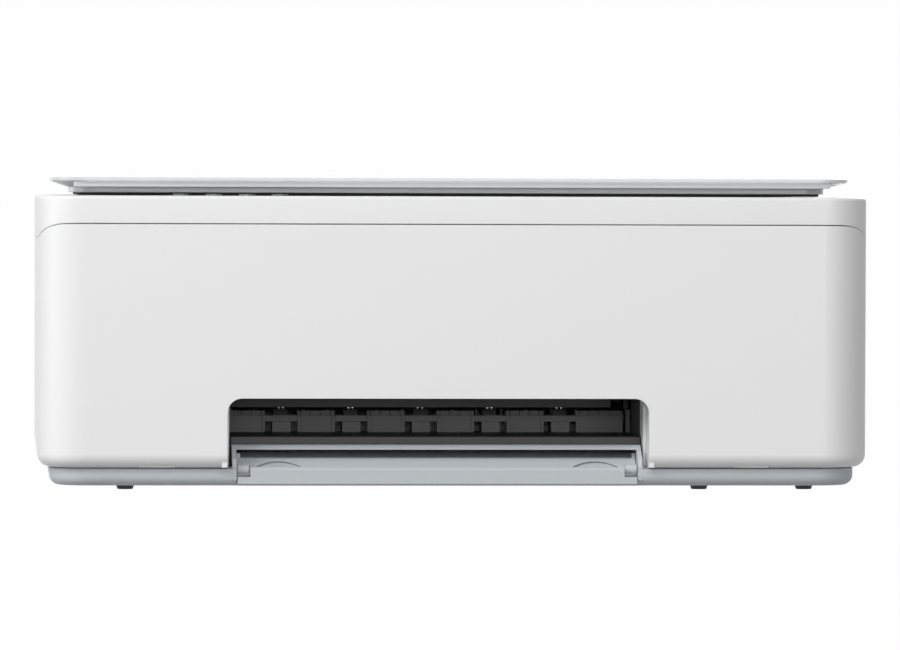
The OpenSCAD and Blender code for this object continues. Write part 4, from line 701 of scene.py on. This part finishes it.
print("outline of a stamp:", len(rounded_loop(1.0, 1.0, 0.2, 9, 22)), "points")

# %% A pillow between two corners
RIPPLE_WAVES = (5, 9, 14, 23)
RIPPLE_SHIFT = 6.28
RING_CROWDING = 0.7
CROWN_POWER = 8


def pillow(low, high, corner, edge, crown, pull, steps=(9, 22, 6, 6), ripple=0.0, seed=0):
    """Closed pillow in a box. Rings shrink from the outline to the middle of each face; the
    edge is a half ellipse; each face falls away from its flat middle by crown times the
    eighth power of the distance; ripple adds smooth random waves to the outline."""
    per_corner, per_side, edge_rings, face_rings = steps
    middle, half = (low + high) / 2, (high - low) / 2
    loop = rounded_loop(half[0], half[1], corner, per_corner, per_side, pull)
    if ripple > 0.0:
        random = np.random.default_rng(seed)
        phase = np.linspace(0.0, FULL_TURN, len(loop), endpoint=False)
        wave = sum(math.sin(k) * np.sin(k * phase + random.uniform(0, RIPPLE_SHIFT))
                   for k in RIPPLE_WAVES)
        loop = loop * (1.0 - ripple * (1.0 + wave[:, None] / 3))
    inner = 1.0 - edge / half[:2]
    share = np.linspace(0.0, 1.0, face_rings) ** RING_CROWDING
    angle = np.linspace(-QUARTER_TURN, QUARTER_TURN, edge_rings)
    scale = np.concatenate([
        share[:, None] * inner, inner + (1 - inner) * np.cos(angle)[1:-1, None],
        share[::-1, None] * inner])
    face = half[2] - crown * share ** CROWN_POWER
    height = np.concatenate([-face, np.sin(angle)[1:-1] * (half[2] - crown), face[::-1]])
    rings = np.empty((len(scale), len(loop), 3))
    rings[:, :, :2] = middle[:2] + scale[:, None, :] * loop[None, :, :]
    rings[:, :, 2] = middle[2] + height[:, None]
    return rings


def closed_object(name, grids, material):
    """One object from several ring grids, each closed round its loops and at its poles."""
    shape = bmesh.new()
    for rings in grids:
        part = grid_mesh(name + "_part", rings, close_v=True)
        shape.from_mesh(part)
        bpy.data.meshes.remove(part)
    bmesh.ops.remove_doubles(shape, verts=shape.verts, dist=SAME_POINT)
    bmesh.ops.recalc_face_normals(shape, faces=shape.faces)
    mesh = bpy.data.meshes.new(name)
    shape.to_mesh(mesh)
    shape.free()
    smooth(mesh)
    return add_object(name, mesh, material)


pad_low, pad_high = corners("lid_pad")
pad = closed_object("document_pad", [pillow(
    pad_low, pad_high, corner=6 * MM, edge=3 * MM, crown=0.4 * MM, pull=0.8 * MM)],
    finish["white_pad"])
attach(pad, "lid")
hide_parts("lid_pad")
print("pad", len(pad.data.vertices), "points")

# %% Strips of ink foam
FOAM_COUNT, FOAM_GAP = 14, 2 * MM
foam_low, foam_high = corners("platen_foam")
foam_pitch = (foam_high[0] - foam_low[0] + FOAM_GAP) / FOAM_COUNT
strips = []
for index in range(FOAM_COUNT):
    left = foam_low[0] + index * foam_pitch
    strips.append(pillow(
        np.array([left, foam_low[1], foam_low[2]]),
        np.array([left + foam_pitch - FOAM_GAP, foam_high[1], foam_high[2]]),
        corner=1.2 * MM, edge=0.8 * MM, crown=0.25 * MM, pull=0.15 * MM,
        steps=(5, 14, 5, 5), ripple=0.01, seed=index))
ink_foam = closed_object("ink_foam_strips", strips, finish["foam"])
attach(ink_foam, "frame")
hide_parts("platen_foam")
print("foam", len(ink_foam.data.vertices), "points in", FOAM_COUNT, "strips")

# %% [markdown]
# ## The dark line under the lid
#
# Between the lid's pale frame and the deck lies a narrow gap in shade. A small rounded black
# bead, carried round the lower rim of the frame, stands there as painted shadow and draws
# that shade as the dark line across the front. One parameter runs round a rounded rectangle
# and the other round the bead's own section, so the surface closes both ways.

# %% Carry the black bead of painted shadow round the rim
RIM_SIDE, RIM_FRONT, RIM_BACK, RIM_CORNER = 14.2 * MM, 24.0 * MM, 11.5 * MM, 9 * MM
BEAD_OUT, BEAD_IN, BEAD_HEIGHT, BEAD_ROUND = 0.35 * MM, 0.5 * MM, 1.3 * MM, 0.25 * MM
BEAD_LIFT = 0.05 * MM


def bead_ring(low, high, corner, out, inwards, round_off):
    """Bead round a rectangle with round corners: section points (s, z) sit at an offset s from
    the rectangle, which moves both its sides and its corner radius, so the bead keeps its
    thickness through the corners."""
    section = rounded_loop((out + inwards) / 2, (high[2] - low[2]) / 2, round_off, 4, 1)
    section = section + np.array([(out - inwards) / 2, (low[2] + high[2]) / 2])
    half_x, half_y = (high[0] - low[0]) / 2, (high[1] - low[1]) / 2
    centre = np.array([(low[0] + high[0]) / 2, (low[1] + high[1]) / 2])
    rings = []
    for offset, z in section:
        loop = rounded_loop(half_x + offset, half_y + offset, corner + offset, 9, 7) + centre
        rings.append(np.column_stack([loop, np.full(len(loop), z)]))
    return np.array(rings)


lid_low, lid_high = corners("document_lid")
bead_low = np.array([lid_low[0] + RIM_SIDE, lid_low[1] + RIM_FRONT, lid_low[2] + BEAD_LIFT])
bead_high = np.array([lid_high[0] - RIM_SIDE, lid_high[1] - RIM_BACK, bead_low[2] + BEAD_HEIGHT])
# the bead's black is painted shadow for the shaded gap between lid and deck
shadow_bead = add_object("lid_shadow_bead", grid_mesh(
    "lid_shadow_bead", bead_ring(bead_low, bead_high, RIM_CORNER, BEAD_OUT, BEAD_IN, BEAD_ROUND),
    close_u=True, close_v=True), finish["rubber"])
smooth(shadow_bead.data)
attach(shadow_bead, "lid")
print("shadow_bead", len(shadow_bead.data.vertices), "points")

# %% [markdown]
# ## The lid's front face
#
# Under the front edge of the lid runs an upright face that joins the thin plate to the
# frame below it. It is one section carried along X. The section leans back a little as it
# goes down, which is the draft that lets the moulding leave its tool, and both ends close
# over a short quarter circle.

# %% Carry the front face along the lid
PLATE_THICK, FRAME_SIDE = 1.9 * MM, 11.2 * MM
FACE_BACK, FACE_DEEP, FACE_HIGH, FACE_LEAN = 1.6 * MM, 19.0 * MM, 3.3 * MM, 0.35 * MM
FACE_ROUND, FACE_END, FACE_LEANS_TO = 0.3 * MM, 0.5 * MM, 8 * MM


def bar_along_x(section, start, end, end_round, end_steps=5):
    """Closed bar: the section (y, z) is repeated along X, and over each end it shrinks to its
    own middle by the cosine of an angle while X moves on by the sine."""
    middle = section.mean(axis=0)
    angle = np.linspace(QUARTER_TURN, 0.0, end_steps)
    half = np.ptp(section, axis=0) / 2
    keep = 1.0 - np.minimum(1.0, end_round / half) * (1.0 - np.cos(angle)[:, None])
    first = start + end_round * (1.0 - np.sin(angle))
    places = np.concatenate([[start], first, (end + start) - first[::-1], [end]])
    scale = np.concatenate([np.zeros((1, 2)), keep, keep[::-1], np.zeros((1, 2))])
    rings = np.empty((len(places), len(section), 3))
    rings[:, :, 0] = places[:, None]
    rings[:, :, 1:] = middle + scale[:, None, :] * (section - middle)
    return rings


plate_under = lid_high[2] - PLATE_THICK
face_section = rounded_loop(FACE_DEEP / 2, FACE_HIGH / 2, FACE_ROUND, 4, 3)
face_section = face_section + np.array([
    lid_low[1] + FACE_BACK + FACE_DEEP / 2, plate_under - FACE_HIGH / 2])
drop = (plate_under - face_section[:, 1]) / FACE_HIGH
leaning = face_section[:, 0] < lid_low[1] + FACE_LEANS_TO
face_section[:, 0] += np.where(leaning, drop * FACE_LEAN, 0.0)
front_face = closed_object("lid_front_face", [bar_along_x(
    face_section, lid_low[0] + FRAME_SIDE, lid_high[0] - FRAME_SIDE, FACE_END)],
    finish["lid_grey"])
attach(front_face, "lid")
print("lid front face", len(front_face.data.vertices), "points")

# %% [markdown]
# ## Marks on the buttons
#
# Each button carries a small raised sign of the plain kind that needs no words: a ring
# with a stroke for power, a cross for stop, and a sheet with one dot or three for the two
# kinds of copy. Every stroke is a low ridge: its path is given in the button's plane, and
# across the path the height follows a half ellipse that starts just inside the button.

# %% Strokes and their paths
STROKE_WIDTH, STROKE_RISE, STROKE_SINK = 0.34 * MM, 0.09 * MM, 0.05 * MM
ACROSS = np.array([-1.0, -0.8, -0.4, 0.0, 0.4, 0.8, 1.0])


def ridge(path, centre, top, closed=False):
    """Ridge along a path (x, y) about a centre: at an offset s from the path, from -1 to 1 half
    widths, its height is the rise times the root of 1 - s squared, and both rims lie below
    the top of the button."""
    before = np.roll(path, 1, axis=0) if closed else np.vstack([path[:1], path[:-1]])
    after = np.roll(path, -1, axis=0) if closed else np.vstack([path[1:], path[-1:]])
    along = after - before
    along = along / np.linalg.norm(along, axis=1, keepdims=True)
    side = np.stack([-along[:, 1], along[:, 0]], axis=1)
    offset = ACROSS[None, :, None] * side[:, None, :] * STROKE_WIDTH / 2
    points = np.empty((len(path), len(ACROSS), 3))
    points[:, :, :2] = centre + path[:, None, :] + offset
    points[:, :, 2] = top - STROKE_SINK + STROKE_RISE * np.sqrt(1.0 - ACROSS ** 2)
    return points


def ring_path(radius, start, end, steps, centre=(0.0, 0.0)):
    """Part of a circle from one angle to another, in degrees, about a centre in millimetres."""
    angle = np.radians(np.linspace(start, end, steps))
    return radius * MM * np.stack([np.cos(angle), np.sin(angle)], axis=1) + np.array(centre) * MM


def line_path(start, end, steps=6):
    """A straight stroke between two places in millimetres."""
    share = np.linspace(0.0, 1.0, steps)[:, None]
    return np.array(start) * MM * (1 - share) + np.array(end) * MM * share


SHEET_MARK = rounded_loop(1.15 * MM, 1.5 * MM, 0.35 * MM, 5, 3)
THREE_DOTS = ((-0.45, -0.3), (0.45, -0.3), (0.0, 0.5))
MARKS = {  # each stroke is a path and whether it closes on itself
    "power_button": [
        (ring_path(1.6, 125, 415, 28), False), (line_path((0, 0.5), (0, 2.1)), False)],
    "cancel_button": [
        (line_path((-1.2, -1.2), (1.2, 1.2)), False),
        (line_path((-1.2, 1.2), (1.2, -1.2)), False)],
    "colour_button": [(SHEET_MARK, True)] + [
        (ring_path(0.22, 0, 330, 8, dot), True) for dot in THREE_DOTS],
    "black_button": [(SHEET_MARK, True), (ring_path(0.3, 0, 330, 10), True)],
}
print("strokes:", {button: len(strokes) for button, strokes in MARKS.items()})

# %% Raise the marks
finish["mark_white"] = moulded("pale_mark", (0.72, 0.73, 0.74), 0.4, 1800.0, 0.003, 0.02)
for button, strokes in MARKS.items():
    low, high = corners(button)
    centre = (low[:2] + high[:2]) / 2
    shape = bmesh.new()
    for path, closed in strokes:
        stroke = grid_mesh("stroke", ridge(path, centre, high[2], closed), close_u=closed)
        shape.from_mesh(stroke)
        bpy.data.meshes.remove(stroke)
    mesh = bpy.data.meshes.new(button + "_mark")
    shape.to_mesh(mesh)
    shape.free()
    mark = add_object(button + "_mark", mesh, finish["mark_white"])
    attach(mark, frame["nodes"][button]["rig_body"])
    print(mark.name, len(mesh.vertices), "points")

# %% [markdown]
# ## Status lamps
#
# Beside the power button two small lenses stand a hair above the deck. A lens is a
# surface of revolution: the radius follows the cosine of an angle and the height its
# sine, so the rim meets the deck steeply and the middle is nearly flat.

# %% Set the lenses
LENS_RADIUS, LENS_RISE, LENS_SINK = 0.9 * MM, 0.2 * MM, 0.05 * MM
LENS_AWAY = -9.5
LENSES = {"lamp_ready": (2.0, "lens_green"), "lamp_paper": (-2.0, "lens_amber")}
TOP_RING = 0.97


def dome(centre, base, radius, rise, rings=7, sides=28):
    """Half of a flattened ball on a base height: a ring at the angle a has the radius times
    the cosine of a and stands higher than the base by the rise times its sine."""
    tilt = np.linspace(0.0, QUARTER_TURN * TOP_RING, rings)
    turn = np.linspace(0.0, FULL_TURN, sides, endpoint=False)
    points = np.empty((rings, sides, 3))
    points[:, :, 0] = centre[0] + radius * np.cos(tilt)[:, None] * np.cos(turn)
    points[:, :, 1] = centre[1] + radius * np.cos(tilt)[:, None] * np.sin(turn)
    points[:, :, 2] = (base + rise * np.sin(tilt))[:, None]
    return points


finish["lens_green"] = moulded(
    "green_lens", (0.10, 0.30, 0.14), 0.2, 1500.0, 0.002, 0.05, 0.6)
finish["lens_amber"] = moulded(
    "amber_lens", (0.46, 0.24, 0.05), 0.2, 1500.0, 0.002, 0.05, 0.6)
power_low, power_high = corners("power_button")
power_mid = (power_low[:2] + power_high[:2]) / 2
for name, (shift, colour) in LENSES.items():
    spot = power_mid + np.array([LENS_AWAY, shift]) * MM
    lens = add_object(name, grid_mesh(name, dome(
        spot, DECK_TOP - LENS_SINK, LENS_RADIUS, LENS_RISE), close_v=True), finish[colour])
    smooth(lens.data)
    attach(lens, frame["nodes"]["scanner_deck"]["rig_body"])
    print(name, "at", spot.round(4))
